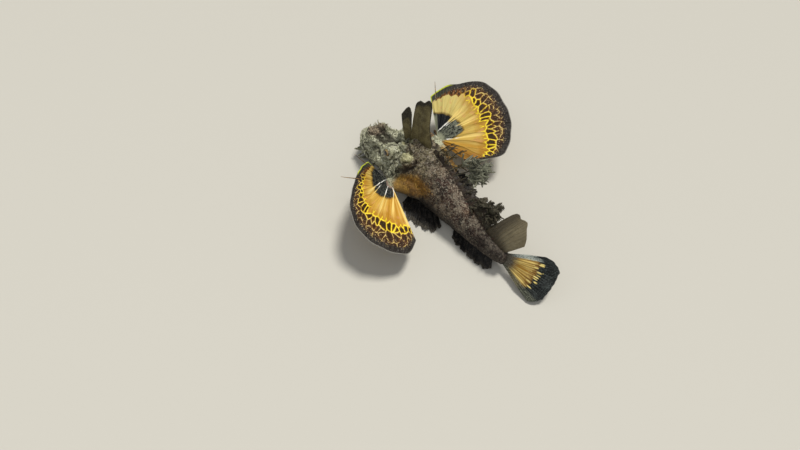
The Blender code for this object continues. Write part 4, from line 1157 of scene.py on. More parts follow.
def underside_material(name, pale, dark, edge):
    """The plain outer face of a fin: blotched, with paler rays and a dusky margin."""
    material, paint = new_material(name)
    _, reach, near, lay = web_of(paint)
    cloud = lay.grain(7.0, 4.0, 0.6)
    speck = lay.grain(1.0, 3.0, 0.6)
    colour = layered(
        (cloud.rise(0.4, 0.62) + speck.rise(0.55, 0.75) * 0.5).at_most(1.0).blend(dark, pale),
        (near * 0.35, pale),
        ((reach + (cloud - 0.5) * 0.2).rise(0.8, 0.9), edge),
    )
    return finish_material(material, colour, 0.5, near * 0.7 + speck * 0.4, 0.3 * MM, Specular_IOR_Level=0.4)


# %% [markdown]
# Each fan spreads from the disc of its fleshy base. Its margin is given by a few rows of direction, reach and
# rise. Waves that grow outwards ruffle it, each ray pushes the margin out a little, and the web sags between
# the rays in shallow pleats.

# %% Pectoral fans
FAN_ROOT = 1.8 * MM
FAN_RAYS = 10
# The margin: direction in degrees from the head, then reach and rise from the pivot in millimetres
FAN_MARGINS = {
    "left": (
        (26, 19, 20),
        (45, 22, 24),
        (66, 26, 26),
        (87, 36, 27),
        (100, 47, 26),
        (115, 58, 23),
        (132, 65, 15),
        (148, 67, 6),
        (160, 55, 1.5),
    ),
    "right": (
        (31, 35, 15),
        (47, 41, 18),
        (61, 47, 20),
        (85, 59, 21),
        (108, 60, 19),
        (130, 59, 15),
        (150, 57, 11),
        (160, 48, 7),
        (166, 43, 6),
        (172, 38, 5),
        (178, 32, 4),
    ),
}
# The threads: number of the ray and length
FAN_THREADS = {"left": ((0, 11 * MM), (3, 14 * MM)), "right": ((0, 9 * MM),)}


def fan_form(side):
    margin, pivot, sign = FAN_MARGINS[side], PIVOTS[side], SIDES[side]
    first, last = margin[0][0], margin[-1][0]
    reach_at, rise_at = columns_of(margin)

    def point_at(spread, share):
        angle = first + (last - first) * spread
        turn = np.radians(angle) * sign
        reach = reach_at(angle) * (1 + 0.004 * np.cos(2 * np.pi * (spread * FAN_RAYS - 0.5)) * share**4)
        out = vec(np.cos(turn), np.sin(turn), 0.0)
        flat = FAN_ROOT + (reach - FAN_ROOT) * share
        level = rise_at(angle) * (1.15 * share - 0.15 * share**3) + 1.6 * MM * (1 - share) ** 3
        ruffle = np.sin(spread * 23 + sign) * 0.7 + np.sin(spread * 41 + 2.0) * 0.45
        level = level + ruffle * MM * share**3
        return pivot + out * flat[..., None] + UP * np.maximum(level, 1 * MM - pivot[2])[..., None]

    return point_at


fan_back = underside_material("fan underside", (0.2, 0.13, 0.07), (0.07, 0.045, 0.03), (0.05, 0.04, 0.04))
for side in SIDES:
    form = fan_form(side)
    looks = {"forks": (0.35, 0.62), "pleat": 0.35 * MM}
    fan = fin(f"fan_{side}", 280, 90, form, FAN_RAYS, 1.3 * MM, 0.45 * MM, **looks)
    spread, reach, _ = read(fan.data.attributes["place"].data, "vector").T
    remember(fan, "net", net_places(side, spread, reach, form))
    dress(fan, "pectoral_membrane", [fan_material(side), fan_back], f"pectoral_fin_{side}")

# %% [markdown]
# The tail fin opens like the pectorals but is painted more simply: a grey root, dark rays over orange, a row
# of yellow dashes and a broad blue-black margin. The soft rear lobe of the dorsal fin is a thin veil that
# lets some light through, with painted shade at its front and foot. It shares its paint with the low web of
# the dorsal spines. The anal and pelvic fins lie frilled on the floor like a hem and share one near-black,
# marbled paint: their own dark colour and painted shade beneath the body.

# %% Tail, veil and dark fins
def tail_material():
    material, paint = new_material("tail fin")
    spread, reach, near, lay = web_of(paint)
    soft = lay.grain(5.0, 3.0, 0.6) - 0.5
    speck = lay.grain(0.8, 3.0, 0.6)
    streak = flat_vector(spread * 26.0, reach * 1.5).grain(1.0, 3.0, 0.55)
    centre = layered(
        streak.rise(0.4, 0.6).blend((0.34, 0.18, 0.028), (0.76, 0.58, 0.19)),
        (near.rise(0.25, 0.8) * 0.35, (0.12, 0.055, 0.012)),
        ((reach + soft * 0.2).rise(0.52, 0.66) * 0.85, (0.13, 0.055, 0.01)),
    )
    base = speck.rise(0.4, 0.62).blend((0.045, 0.038, 0.028), (0.18, 0.165, 0.13))
    dark = (speck + soft * 0.4).rise(0.46, 0.66).blend((0.007, 0.009, 0.009), (0.048, 0.058, 0.056))
    dashes = flat_vector(spread * 15.0, reach * 5.0).shaken(1.6, 0.5).cells(1.0, "F1", 0.9, flat=True)
    row = (reach + soft * 0.08).rise(0.54, 0.58) * (reach + soft * 0.08).rise(0.78, 0.72)
    dashes = dashes.rise(0.3, 0.18) * row * spread.rise(0.16, 0.24)
    upper = (spread + soft * 0.06).rise(0.84, 0.9) * reach.rise(0.12, 0.25)
    bluish = (speck - (reach - 0.5).abs() * 0.5).rise(0.3, 0.5)
    bluish = bluish.blend((0.06, 0.068, 0.066), (0.33, 0.36, 0.325))
    lower = (spread + soft * 0.06).rise(0.17, 0.1)
    greyish = speck.rise(0.42, 0.6).blend((0.026, 0.03, 0.022), (0.15, 0.155, 0.115))
    colour = layered(
        (reach + soft * 0.12).rise(0.16, 0.36).blend(base, centre),
        ((reach + soft * 0.1).rise(0.63, 0.69), dark),
        (dashes, (0.72, 0.58, 0.2)),
        (upper, reach.rise(0.72, 0.8).blend(bluish, dark)),
        (lower * 0.9, greyish),
        (reach.rise(0.985, 0.998), (0.095, 0.098, 0.092)),
    )
    height = near * 0.8 + speck * 0.4
    return finish_material(material, colour, 0.55, height, 0.3 * MM, Specular_IOR_Level=0.15)


def banded_material(name, web_pale, web_dark, ray_tint, clear=1.0):
    """Cloudy web, tinted rays and dark spots. clear below 1 lets light through and paints shade on the fin's
    front and foot.
    """
    material, paint = new_material(name)
    spread, reach, near, lay = web_of(paint)
    cloud = lay.grain(4.0, 4.0, 0.6)
    speck = lay.grain(0.8, 3.0, 0.6)
    dots = lay.cells(2.6, flat=True).rise(0.34, 0.18) * cloud.rise(0.42, 0.6)
    colour = layered(
        (cloud.rise(0.38, 0.62) * 0.7 + speck.rise(0.5, 0.7) * 0.4).at_most(1.0).blend(web_dark, web_pale),
        (near.rise(0.3, 0.9) * 0.6, ray_tint),
        (dots * 0.8, web_dark),
        ((reach + (cloud - 0.5) * 0.3).rise(0.8, 0.92) * 0.8, web_dark),
    )
    sockets = {"Specular_IOR_Level": 0.3}
    if clear < 1.0:
        # Painted shade: darker towards the fin's front and its foot on the body
        foot = spread.rise(0.62, 0.22) + reach.rise(0.48, 0.12) + (cloud - 0.5)
        colour = (foot.at_most(1.0) * 0.8).blend(colour, (0.036, 0.028, 0.018))
        sockets["Alpha"] = (clear + near * (1 - clear) + reach.rise(0.85, 1.0) * 0.15).at_most(1.0)
    return finish_material(material, colour, 0.5, near * 0.5 + speck * 0.5, 0.3 * MM, **sockets)


def frilly_material():
    """The near-black hem of the fish, dark in its own colour and in painted shade beneath the body, marbled
    grey-brown.
    """
    material, paint = new_material("dark fin")
    _, reach, near, lay = web_of(paint)
    loose = lay.shaken(2.5, 1.6)
    cloud = lay.grain(3.5, 4.0, 0.65)
    vein = (loose.grain(2.4, 2.0, 0.5) - 0.5).abs().rise(0.04, 0.01) * cloud.rise(0.46, 0.6)
    speck = lay.grain(0.7, 3.0, 0.6)
    hem = (reach + (cloud - 0.5) * 0.5).rise(0.8, 1.0) * speck.rise(0.45, 0.6)
    # Near-black: the fins' own dark colour and painted shade where they lie beneath the body
    colour = layered(
        cloud.rise(0.4, 0.66).blend((0.006, 0.006, 0.006), (0.03, 0.027, 0.023)),
        (near.rise(0.3, 0.9) * 0.4, (0.014, 0.012, 0.01)),
        (vein * 0.55, (0.15, 0.135, 0.11)),
        (hem, (0.11, 0.095, 0.07)),
    )
    height = vein + speck * 0.5 + near * 0.4
    return finish_material(material, colour, 0.55, height, 0.3 * MM, Specular_IOR_Level=0.25)


# The tail fin in degrees: its heading, the lowest ray and the spread, and the roll at the root and outside it
TAIL_TURN = math.radians(8.5)
TAIL_LOWEST, TAIL_SPREAD = -17, 48
ROOT_ROLL, MORE_ROLL = 18, 36
# How deep the fins of the back are sunk in the ridge
FIN_FOOT = 3 * MM
# Lengths and heights in millimetres along each fin's share
TAIL_LENGTHS = ((0, 37), (0.12, 41), (0.25, 43), (0.5, 43.5), (0.75, 43.5), (0.92, 38), (1, 31))
SOFT_HEIGHTS = ((0, 19), (0.1, 24), (0.3, 27.5), (0.55, 27.5), (0.75, 24.5), (0.9, 19.5), (1, 12))
tail_length_at = Profile(TAIL_LENGTHS, 1, MM)
soft_height_at = Profile(SOFT_HEIGHTS, 1, MM)
anal_edge_at = Profile(((0, 9), (0.15, 14), (0.6, 13.5), (0.9, 11.5), (1, 8)), 1, MM)
pelvic_length_at = Profile(((0, 18), (0.35, 27), (0.7, 28), (1, 19)), 1, MM)


def ragged(share, reach, size, seed):
    """Small irregular notches that grow towards a fin's edge."""
    rates = enumerate((37, 71, 113, 190), start=1)
    notch = sum(np.sin(share * rate + seed * rate) / number for number, rate in rates)
    return 1 + size * notch * reach**3


def frills(*waves_of):
    """Folds that stand up from a hem, each wave a height in millimetres and the angle that makes it."""
    return sum(np.maximum(np.sin(angle), 0) * height for height, angle in waves_of)


def tail_form(share, reach):
    back = -unit(np.array([math.cos(TAIL_TURN), math.sin(TAIL_TURN), 0.1]))
    root_centre = place(BODY_LENGTH - 3 * MM, 0.0, 14.2 * MM)
    swing = np.radians(TAIL_LOWEST + TAIL_SPREAD * share)[..., None]
    roll = np.radians(ROOT_ROLL + MORE_ROLL * np.minimum(reach * 1.6, 1.0))[..., None]
    up = UP * np.cos(roll) - left_at(BODY_LENGTH) * np.sin(roll)
    root = root_centre + up * (-4.2 * MM + 8.4 * MM * share)[..., None]
    out = back * np.cos(swing) + up * np.sin(swing)
    scallop = 1 + 0.004 * np.cos(2 * np.pi * (share * 10 - 0.5)) * reach**4
    length = tail_length_at(share) * scallop * reach * ragged(share, reach, 0.003, 2)
    point = root + out * length[..., None]
    point[..., 2] += np.sin(share * 19) * 0.6 * MM * reach**2
    point[..., 2] = np.maximum(point[..., 2], 0.5 * MM)
    return point


def on_back(station, height, ahead, lean, reach):
    """A point of a fin on the ridge: its foot at a station, then up, forward and over to the right."""
    foot = place(station, -lean_at(station), high_at(station) - FIN_FOOT)
    bow = np.sin(np.radians(lean) * (0.35 + 0.65 * reach))[..., None]
    up = UP * np.sqrt(1 - bow**2) - left_at(station) * bow
    point = foot + up * ((height + FIN_FOOT) * reach)[..., None]
    return point + forward_at(station) * (ahead * reach)[..., None]


def soft_dorsal_form(share, reach):
    ripple = np.sin(share * 15 + reach * 2) * 1.0 * MM * reach
    station = (134 + 20 * share) * MM
    height = soft_height_at(share) * ragged(share, reach, 0.006, 5)
    point = on_back(station, height, (-7 - 4 * share) * MM, 42 + 0 * share, reach)
    return point + left_at(station) * ripple[..., None]


def anal_form(share, reach):
    station = (106 + 42 * share) * MM
    edge = anal_edge_at(share) * ragged(share, reach, 0.05, 1)
    root = place(station, 0 * station, low_at(station) + 2 * MM)
    middle = place(station + 2 * MM, edge * 0.5, np.maximum(low_at(station) - 1.8 * MM, 0.75 * MM))
    tip = place(station + 5 * MM, edge, 0.75 * MM + 0 * edge)
    t = reach[..., None]
    point = root * (1 - t) ** 2 + middle * 2 * t * (1 - t) + tip * t**2
    frill = frills((1.3, share * 47 + np.sin(share * 19)), (0.5, share * 83))
    point[..., 2] += frill * MM * reach**2
    return point


def pelvic_form(side):
    sign = SIDES[side]

    def point_at(share, reach):
        station = (60 + 24 * share) * MM
        root = place(station, sign * half_width_at(station) * 0.45, 0.0 * station)
        turn = np.radians(sign * (102 + 52 * share))
        out = vec(np.cos(turn), np.sin(turn), 0.0)
        frill = frills((1.6, share * 31 + np.sin(share * 13)), (0.7, share * 57))
        level = 2.6 * MM - 1.6 * MM * reach**0.8 + frill * MM * reach**2
        length = pelvic_length_at(share) * ragged(share, reach, 0.035, 3)
        return root + out * (length * reach)[..., None] + UP * level[..., None]

    return point_at


tail_paint = tail_material()
tail_back = underside_material("tail underside", (0.24, 0.15, 0.06), (0.09, 0.06, 0.03), (0.025, 0.027, 0.03))
tail = fin("tail_fan", 200, 64, tail_form, 10, 1.4 * MM, 0.45 * MM, forks=(0.3, 0.62), pleat=0.25 * MM)
dress(tail, "pectoral_membrane", [tail_paint, tail_back], "caudal_fin")
veil_tints = (0.235, 0.2, 0.12), (0.15, 0.124, 0.072), (0.15, 0.122, 0.072)
veil_paint = banded_material("soft dorsal veil", *veil_tints, clear=0.88)
veil = fin("soft_dorsal_veil", 110, 50, soft_dorsal_form, 8, 0.8 * MM, 0.3 * MM, forks=(0.5,), pleat=0.1 * MM)
dress(veil, "dorsal_membrane", [veil_paint, veil_paint], "dorsal_fin_soft")
hem_paint = frilly_material()
anal = fin("anal_veil", 220, 40, anal_form, 9, 1.1 * MM, 0.4 * MM, forks=(0.45,))
dress(anal, "dark_membrane", [hem_paint, hem_paint], "anal_fin")
for side in SIDES:
    pelvic = fin(f"pelvic_veil_{side}", 150, 54, pelvic_form(side), 6, 1.2 * MM, 0.4 * MM, forks=(0.35, 0.7))
    dress(pelvic, "dark_membrane", [hem_paint, hem_paint], f"pelvic_fin_{side}")

# %% [markdown]
# Behind the eyes stand the first dorsal spines in a thick, leathery crest: a short one with a dark knob, then
# two tall ones joined by a broad web with a two-lobed tip. Low web and ragged flags on the other spines
# follow along the back. The crest is the same kind of grid as the fins, only thicker.

# %% Crest and spiny dorsal
# The edge of the crest: station, height and reach ahead in millimetres, and its lean in degrees
CREST = (
    (38.0, 25, 9.5, 10),
    (38.5, 31.5, 7.3, 10),
    (39.0, 34, 5.2, 10),
    (39.5, 32, 3.3, 10),
    (40.0, 27, 2.0, 10),
    (40.7, 11, 0.8, 10),
    (41.5, 10, 0.8, 10),
    (42.6, 37, 4.0, 11),
    (45.0, 40, 4.0, 12),
    (48.0, 37, 4.5, 14),
    (51.0, 39.5, 5.0, 16),
    (54.0, 36, 6.0, 18),
    (56.5, 18, 4.5, 18),
    (58.5, 9, 2.0, 18),
    (60.5, 5, 0.0, 18),
)
crest_rows = [(share, *row) for share, row in zip(np.linspace(0, 1, len(CREST)), CREST)]
crest_station_at, crest_height_at, crest_ahead_at = columns_of(crest_rows)[:3]
crest_lean_at = columns_of(crest_rows, scale=1.0)[3]


def crest_form(share, reach):
    station = crest_station_at(share)
    height = crest_height_at(share) * ragged(share, reach, 0.008, 4)
    point = on_back(station, height, crest_ahead_at(share), crest_lean_at(share), reach)
    ripple = np.sin(share * 16 + reach * 3) * 0.6 * MM * reach
    return point + left_at(station) * ripple[..., None]


def crest_material():
    material, paint = new_material("crest hide")
    spot = paint.node("TexCoord", out=3)
    share, reach, near = paint.kept("place").parts()
    cloud = spot.grain(5 * MM, 4.0, 0.6)
    grit = spot.grain(0.6 * MM, 3.0, 0.6)
    knob = share.rise(0.33, 0.27)
    tip = (reach + (cloud - 0.5) * 0.22 + knob * 0.16).rise(0.86, 0.95)
    colour = layered(
        cloud.rise(0.36, 0.64).blend((0.08, 0.065, 0.027), (0.165, 0.14, 0.062)),
        (grit.rise(0.54, 0.7) * 0.4, (0.32, 0.285, 0.17)),
        (grit.rise(0.44, 0.32) * 0.6, (0.04, 0.031, 0.014)),
        (tip * 0.95, grit.rise(0.5, 0.7).blend((0.015, 0.013, 0.009), (0.085, 0.075, 0.052))),
    )
    return finish_material(material, colour, 0.6, near * 0.3 + grit * 0.8, 0.3 * MM, Specular_IOR_Level=0.25)


# The upright fins have their first face on the fish's left
LEFT_FACE = left_at(EYE_STATION)
crest_paint = crest_material()
crest = fin("crest", 150, 64, crest_form, 5, 1.8 * MM, 1.1 * MM, forks=(), top=LEFT_FACE)
dress(crest, "dorsal_membrane", [crest_paint, crest_paint], "dorsal_crest")

SPINY_DORSAL = (63.5 * MM, 131.5 * MM)
DORSAL_SPINES = 13
# Heights, lengths in millimetres and leans in degrees along the fin's share
WEB_HEIGHTS = ((0, 4.5), (0.45, 4.5), (0.7, 8), (0.88, 14), (1, 12.5))
SPINE_LENGTHS = ((0, 21), (0.2, 21), (0.35, 25), (0.48, 22), (0.6, 12), (0.7, 13), (0.9, 19), (1, 18))
SPINE_LEANS = ((0, 20), (0.2, 42), (0.35, 60), (0.6, 60), (0.8, 52), (1, 46))
web_height_at = Profile(WEB_HEIGHTS, 1, MM)
spine_length_at = Profile(SPINE_LENGTHS, 1, MM)
spine_lean_at = Profile(SPINE_LEANS)


def spiny_web_form(share, reach):
    start, end = SPINY_DORSAL
    station = start + (end - start) * share
    dip = 1.6 * MM * (0.5 - 0.5 * np.cos(2 * np.pi * (share * DORSAL_SPINES - 0.5)))
    tatter = 0.6 * MM * np.sin(share * 151) * reach**2
    return on_back(station, web_height_at(share) - dip + tatter, -1 * MM, spine_lean_at(share), reach)


web = fin("dorsal_web", 260, 22, spiny_web_form, DORSAL_SPINES, 1.2 * MM, 0.6 * MM, forks=(), top=LEFT_FACE)
web_paint = banded_material("dorsal web", (0.062, 0.044, 0.028), (0.02, 0.014, 0.01), (0.052, 0.036, 0.022))
dress(web, "dorsal_membrane", [web_paint, web_paint], "dorsal_fin_spiny")

# %% [markdown]
# The two lowest rays of each pectoral fin are free of the web. The fish walks on them like fingers, so they
# are jointed, thick at the root and hooked at the toe. Each is a tube along a bent line with shallow rings.

# %% Walking rays
# Each free ray in millimetres: where it starts ahead of the pivot, how far ahead and how far aside it reaches
FREE_RAYS = ((3.5, 25, 5), (-2, 15, 13))


def walking_path(side, start, ahead, aside):
    pivot, sign = PIVOTS[side], SIDES[side]
    level = pivot[2]
    root = pivot + np.array([start * MM, 0, -1.5 * MM])
    knee = pivot + np.array([(start + ahead * 0.5) * MM, sign * aside * 0.6 * MM, -4 * MM])
    shin = pivot + np.array([ahead * 0.86 * MM, sign * aside * 0.9 * MM, 2.5 * MM - level])
    toe = pivot + np.array([ahead * MM, sign * aside * MM, 0.75 * MM - level])
    nail = pivot + np.array([(ahead + 4) * MM, sign * (aside + 1.2) * MM, 0.65 * MM - level])
    return curve_through([root, knee, shin, toe, nail], 73)


def walking_material():
    material, paint = new_material("walking ray skin")
    spot = paint.node("TexCoord", out=3)
    cloud = spot.grain(3 * MM, 3.0, 0.6)
    grit = spot.grain(0.5 * MM, 3.0, 0.6)
    colour = cloud.rise(0.42, 0.58).blend((0.05, 0.03, 0.018), (0.3, 0.17, 0.06))
    colour = (grit.rise(0.5, 0.7) * 0.6).blend(colour, (0.42, 0.33, 0.18))
    return finish_material(material, colour, 0.5, grit, 0.25 * MM, Specular_IOR_Level=0.4)


walking_paint = walking_material()
for side in SIDES:
    for number, (start, ahead, aside) in enumerate(FREE_RAYS, start=1):
        path = walking_path(side, start, ahead, aside)
        share = np.linspace(0, 1, len(path))
        rings = 1 + 0.1 * np.cos(share * 2 * np.pi * 18)
        radii = (2.0 - 1.1 * share) * rings * np.where(share > 0.97, 0.6, 1.0) * MM
        path[:, 2] = np.maximum(path[:, 2], radii + 0.02 * MM)
        walker = tube(f"walking_finger_{side}_{number}", path, radii, around=4)
        dress(walker, "body_skin", [walking_paint], f"walking_ray_{side}_{number}")

# %% [markdown]
# What hides the fish best is its raggedness: hundreds of little flaps and warts of skin, smallest on the
# head's top, leafy on the jaw, brows and back. Hair or instances would be lost on export, so each flap is
# real mesh. One leaf with a few dozen faces is modelled and copied in code, each copy with its own size, curl
# and lie. A second map, OFBake, puts each leaf on a patch at its root's place on the unwrapped skin.

# %% Leaves of skin
# A leaf's patch on the second map, the share of it that is sunk in the skin, its least height over the floor,
# and how far outside the body the search for the skin starts
PATCH = 0.003
LEAF_ROOT = 0.12
LEAF_CLEARANCE = 0.2 * MM
FAR_OUT = 30 * MM


def leaf_shape(name, half_widths, sweep, thick):
    """One leaf of unit length along Z, as wide on X as each row says, its wide rows swept towards the tip."""
    rows = len(half_widths) - 1
    piece = add(bpy.ops.mesh.primitive_grid_add, name, x_subdivisions=2, y_subdivisions=rows, size=1)
    start = points_of(piece)
    along = start[:, 1] + 0.5
    wide = np.interp(along * rows, range(rows + 1), half_widths)
    aside = np.abs(start[:, 0]) * 2
    move_points(piece, vec(start[:, 0] * 2 * wide, 0.06 * (1 - aside), along + sweep * wide * aside))
    modify(piece, "SOLIDIFY", thickness=thick, offset=0.0)
    outwards(piece)
    points = points_of(piece)
    faces = [tuple(face.vertices) for face in piece.data.polygons]
    bpy.data.objects.remove(piece)
    return points, faces


def scatter(name, leaf, sprigs):
    """One mesh of many copies of a leaf, each placed, turned, curled and tinted as its sprig says."""
    shape, faces = leaf
    count = len(shape)
    points, joined, regions, tints, maps = [], [], [], [], []
    x, y, z = shape[:, 0:1], shape[:, 1:2], shape[:, 2:3]
    for number, sprig in enumerate(sprigs):
        way = unit(sprig["way"])
        side_way = unit(sprig["side"] - way * (sprig["side"] @ way))
        flat = np.cross(way, side_way)
        length, width = sprig["size"], sprig["size"] * sprig["width"]
        twist = sprig["twist"] * z
        turned = side_way * np.cos(twist) + flat * np.sin(twist)
        over = -side_way * np.sin(twist) + flat * np.cos(twist)
        leaf_points = sprig["root"] + way * (z - LEAF_ROOT) * length + turned * x * width + over * y * length
        leaf_points = leaf_points + flat * (sprig["curl"] * length * z**2)
        leaf_points = leaf_points + side_way * (sprig["sway"] * length * np.sin(z * 3.0 + number))
        leaf_points[:, 2] = np.maximum(leaf_points[:, 2], LEAF_CLEARANCE)
        points.append(leaf_points)
        joined += [tuple(index + number * count for index in face) for face in faces]
        shade = np.tile(sprig["region"], (count, 1)).astype(float)
        # Painted shade: a leaf keeps half the skin's crease shade and darkens towards its root, where it
        # meets the skin
        shade[:, 2] = np.clip(shade[:, 2] * 0.5 + 0.45 * (1 - shape[:, 2]), 0, 1)
        regions.append(shade)
        tints.append(np.tile(sprig["tint"], (count, 1)))
        maps.append(np.array(sprig["uv"]) + PATCH * (shape[:, [0, 2]] * [0.5, 1.0] - [0, 0.5]))
    mesh = bpy.data.meshes.new(name)
    mesh.from_pydata(np.vstack(points).tolist(), [], joined)
    piece = bpy.data.objects.new(name, mesh)
    bpy.context.scene.collection.objects.link(piece)
    remember(piece, "regions", np.vstack(regions))
    remember(piece, "tints", np.vstack(tints))
    layer = mesh.uv_layers.new(name="OFBake")
    corners = np.empty(len(mesh.loops), int)
    mesh.loops.foreach_get("vertex_index", corners)
    layer.data.foreach_set("uv", np.vstack(maps)[corners].ravel())
    return piece


skin_faces = [tuple(face.vertices) for face in skin.data.polygons]
skin_tree = BVHTree.FromPolygons(points_of(skin).tolist(), skin_faces)


def on_skin(station, turn):
    """The place, the outward direction and the markings of the worked skin at a station and turn."""
    outside = section_point(station, turn, FAR_OUT)
    inside = place(station, -0.3 * lean_at(station), widest_at(station))
    found, normal, face, _ = skin_tree.ray_cast(Vector(outside), Vector(unit(inside - outside)))
    if found is None:
        return None
    corner = skin_faces[face][0]
    return np.array(found), np.array(normal), skin_regions[corner], skin_tints[corner]


def loose_way(draw, amount):
    return np.array([draw.gauss(0, amount) for _ in range(3)])


def habit(draw, size, width, curls, sway, twist):
    """How one leaf grows: its size in millimetres, and the random rest that tells it from the next."""
    return {
        "size": size * MM,
        "width": width * draw.uniform(0.7, 1.3),
        "curl": draw.uniform(*curls),
        "sway": draw.uniform(-sway, sway),
        "twist": draw.uniform(-twist, twist),
    }


def sprigs_over(draw, number, stations, turns, size, width, back, curl, steep=1.0):
    """Leaves at random over a stretch of skin. Tries that meet the underside or an eye grow nothing."""
    made = []
    for _ in range(number):
        station = draw.uniform(*stations) * MM
        turn = math.radians(draw.uniform(*turns))
        hit = on_skin(station, turn)
        if hit is None or hit[1][2] < -0.6 or hit[0][2] < 2 * MM:
            continue
        root, out, region, tint = hit
        eye_gap = min(np.linalg.norm(root - eye_frame(sign)[0]) for sign in SIDES.values())
        if eye_gap < EYE_RADIUS + 1.6 * MM:
            continue
        loose = loose_way(draw, 0.25)
        leaf = {
            "root": root,
            "way": out * steep - forward_at(station) * back * draw.uniform(0.5, 1.5) + loose,
            "side": np.cross(out, forward_at(station)) + loose,
            "region": region,
            "tint": tint,
            "uv": (station / BODY_LENGTH, (turn / math.tau) % 1.0),
        }
        curls = (-0.6 * curl, 1.2 * curl)
        made.append(leaf | habit(draw, draw.triangular(*size), width, curls, 0.12, 0.6))
    return made


papilla = leaf_shape("papilla", (0.5, 0.42, 0.3, 0.16, 0.03), 0.0, 0.35)
strap = leaf_shape("strap", (0.3, 0.42, 0.36, 0.46, 0.34, 0.4, 0.24, 0.05), 0.2, 0.09)
wisp = leaf_shape("wisp", (0.1, 0.17, 0.11, 0.16, 0.08, 0.12, 0.01), 0.25, 0.05)
frond = leaf_shape("frond", (0.16, 0.34, 0.16, 0.62, 0.22, 0.8, 0.24, 0.66, 0.2, 0.42, 0.1, 0.02), 0.35, 0.07)


def coat(name, leaf, seed, rows, material):
    """A coat of leaves over the skin, drawn row by row from one seed."""
    draw = random.Random(seed)
    sprigs = [sprig for row in rows for sprig in sprigs_over(draw, *row)]
    return dress(scatter(name, leaf, sprigs), "body_skin", [material])


# Tries, stations in millimetres, turns in degrees, least, most and usual size in millimetres, width, lean
# towards the tail, curl, and how steeply the leaves stand if not at 1
GRAINS = (
    (340, (1, 50), (-20, 200), (0.4, 1.2, 0.6), 0.9, 0.5, 0.2),
    (620, (50, 154), (-10, 190), (0.5, 1.7, 0.8), 0.8, 0.9, 0.2),
)
TASSELS = (
    (40, (-1, 13), (195, 345), (3.0, 8.0, 4.5), 0.5, -0.6, 0.3),
    (22, (1, 14), (20, 160), (2.0, 5.0, 3.0), 0.5, -0.3, 0.3),
    (46, (5, 50), (-35, 25), (2.0, 6.0, 3.0), 0.6, 0.5, 0.3),
    (46, (5, 50), (155, 215), (2.0, 6.0, 3.0), 0.6, 0.5, 0.3),
    (30, (14, 50), (30, 150), (1.5, 3.2, 2.0), 0.6, 0.4, 0.3, 0.6),
    (60, (56, 152), (10, 60), (1.5, 4.5, 2.2), 0.6, 1.1, 0.3, 0.7),
    (60, (56, 152), (120, 170), (2.0, 5.5, 3.0), 0.6, 0.8, 0.3),
)
RIDGE_FRILLS = ((110, (66, 150), (94, 122), (1.2, 3.6, 2.2), 0.55, 0.8, 0.3),)
coat("skin_papillae", papilla, 21, GRAINS, skin_paint)
coat("skin_tassels", strap, 22, TASSELS, skin_paint)

# %% [markdown]
# The largest flags hang from the spines of the spiny dorsal fin, each spine a thin tapered rod. Bronze wisps
# grow on the first spines, tufts of pale wisps and fronds near the tips of the next ones, and dark fronds and
# straps droop from those at the rear. A row of small red-brown frills runs beside them along the ridge.

# %% Dorsal spines and their flags
dark_paint = skin_material("dark dorsal flags", 0.4 * MM, (0.03, 0.032, 0.015))
olive_paint = skin_material("pale dorsal flags", 0.4 * MM, (0.25, 0.27, 0.195))
bronze_paint = skin_material("bronze filaments", 0.4 * MM, (0.11, 0.085, 0.035))
frill_paint = skin_material("ridge frills", 0.4 * MM, (0.05, 0.02, 0.014))


def dorsal_spine(share, draw):
    """The line of one dorsal spine."""
    start, end = SPINY_DORSAL
    station = start + (end - start) * share
    lean = math.radians(float(spine_lean_at(share)) + draw.uniform(-6, 6))
    way = UP * math.cos(lean) - left_at(station) * math.sin(lean)
    way = way - forward_at(station) * draw.uniform(0.1, 0.5)
    length = float(spine_length_at(share)) + draw.uniform(-1.5, 1.5) * MM
    foot = place(station, -lean_at(station), high_at(station) - 2 * MM)
    bend = -forward_at(station) * 0.15 * length
    t = np.linspace(0, 1, 9)[:, None]
    return station, foot + unit(way) * length * t + bend * t**2


def flags_on(draw, station, line, number, size, width, low=0.15, droop=0.0):
    """Leaves that hang from one spine, from a share of its length up to its tip."""
    made = []
    for _ in range(number):
        t = draw.uniform(low, 1.0)
        out = unit(line[-1] - line[0]) * draw.uniform(0.4, 1.0) + loose_way(draw, 0.45)
        leaf = {
            "root": np.array([np.interp(t * 8, range(9), line[:, axis]) for axis in range(3)]),
            "way": out - forward_at(station) * draw.uniform(0, 0.8) - UP * droop,
            "side": forward_at(station) + 0.3 * UP + loose_way(draw, 0.3),
            "region": (0.0, 0.0, 0.0),
            "tint": (0.0, 0.0, 0.0),
            "uv": (station / BODY_LENGTH, 0.25 + 0.01 * t),
        }
        made.append(leaf | habit(draw, draw.uniform(*size), width, (-0.35, 0.35), 0.15, 1.0))
    return made


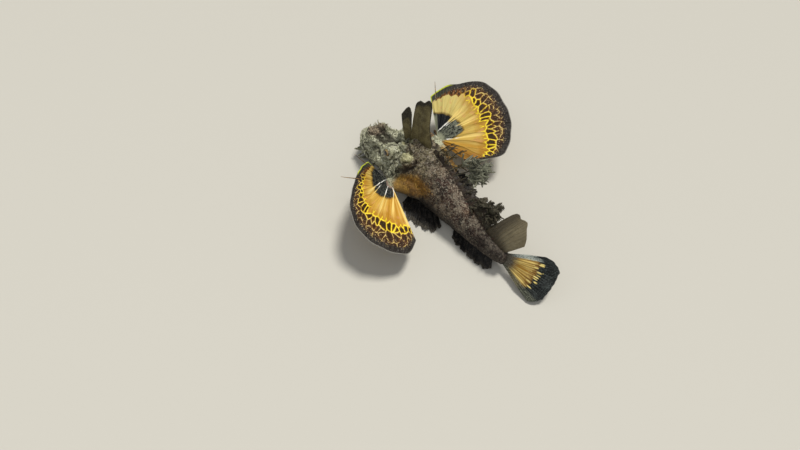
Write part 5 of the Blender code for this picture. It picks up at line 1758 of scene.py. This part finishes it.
# First and last spine, group, number of flags, sizes in millimetres, width, and how low they start or droop
FLAGS = (
    (0, 3, "bronze_wisps", 11, (3.5, 8.0), 0.5, {}),
    (3, 6, "pale_wisps", 40, (6.0, 13.0), 0.45, {"low": 0.6}),
    (3, 6, "pale_fronds", 5, (4.0, 8.0), 0.6, {"low": 0.8}),
    (9, 12, "dark_fronds", 12, (4.5, 9.5), 0.6, {"droop": 0.3}),
    (9, 12, "dark_straps", 12, (4.0, 8.5), 0.35, {"droop": 0.3}),
    (7, 8, "dark_straps", 8, (2.0, 4.5), 0.45, {}),
)
FLAG_LOOKS = {
    "dark_fronds": (frond, dark_paint),
    "dark_straps": (strap, dark_paint),
    "pale_wisps": (wisp, olive_paint),
    "pale_fronds": (frond, olive_paint),
    "bronze_wisps": (wisp, bronze_paint),
}
draw = random.Random(11)
rods, flags = [], {name: [] for name in FLAG_LOOKS}
for number in range(DORSAL_SPINES):
    station, line = dorsal_spine((number + 0.5) / DORSAL_SPINES, draw)
    rods.append(tube("spine", line, np.linspace(0.75, 0.18, len(line)) * MM, around=2))
    for first, last, group, *sizes, hang in FLAGS:
        if first <= number <= last:
            flags[group] += flags_on(draw, station, line, *sizes, **hang)
spines = join("dorsal_spines", rods)
for kept_name in ("regions", "tints"):
    remember(spines, kept_name, np.zeros((len(spines.data.vertices), 3)))
dress(spines, "dorsal_membrane", [dark_paint])
for name, (leaf, material) in FLAG_LOOKS.items():
    dress(scatter(name, leaf, flags[name]), "dorsal_membrane", [material])
coat("ridge_frills", strap, 23, RIDGE_FRILLS, frill_paint)

# %% [markdown]
# Last come the threads at the tips of the foremost rays of the fans, soft and thin as bristles.

# %% Threads of the fans
for side in SIDES:
    form = fan_form(side)
    threads = []
    for ray, length in FAN_THREADS[side]:
        spread = np.full(3, (ray + 0.5) / FAN_RAYS)
        inner, near_tip, tip = form(spread, np.array([0.8, 0.92, 1.0]))
        out = unit(tip - near_tip)
        path = curve_through([inner, tip, tip + out * length * 0.5, tip + out * length + UP * 1 * MM], 14)
        threads.append(tube("thread", path, np.linspace(0.5, 0.14, 14) * MM, around=2))
    thread = join(f"fan_threads_{side}", threads)
    dress(thread, "pectoral_membrane", [walking_paint])
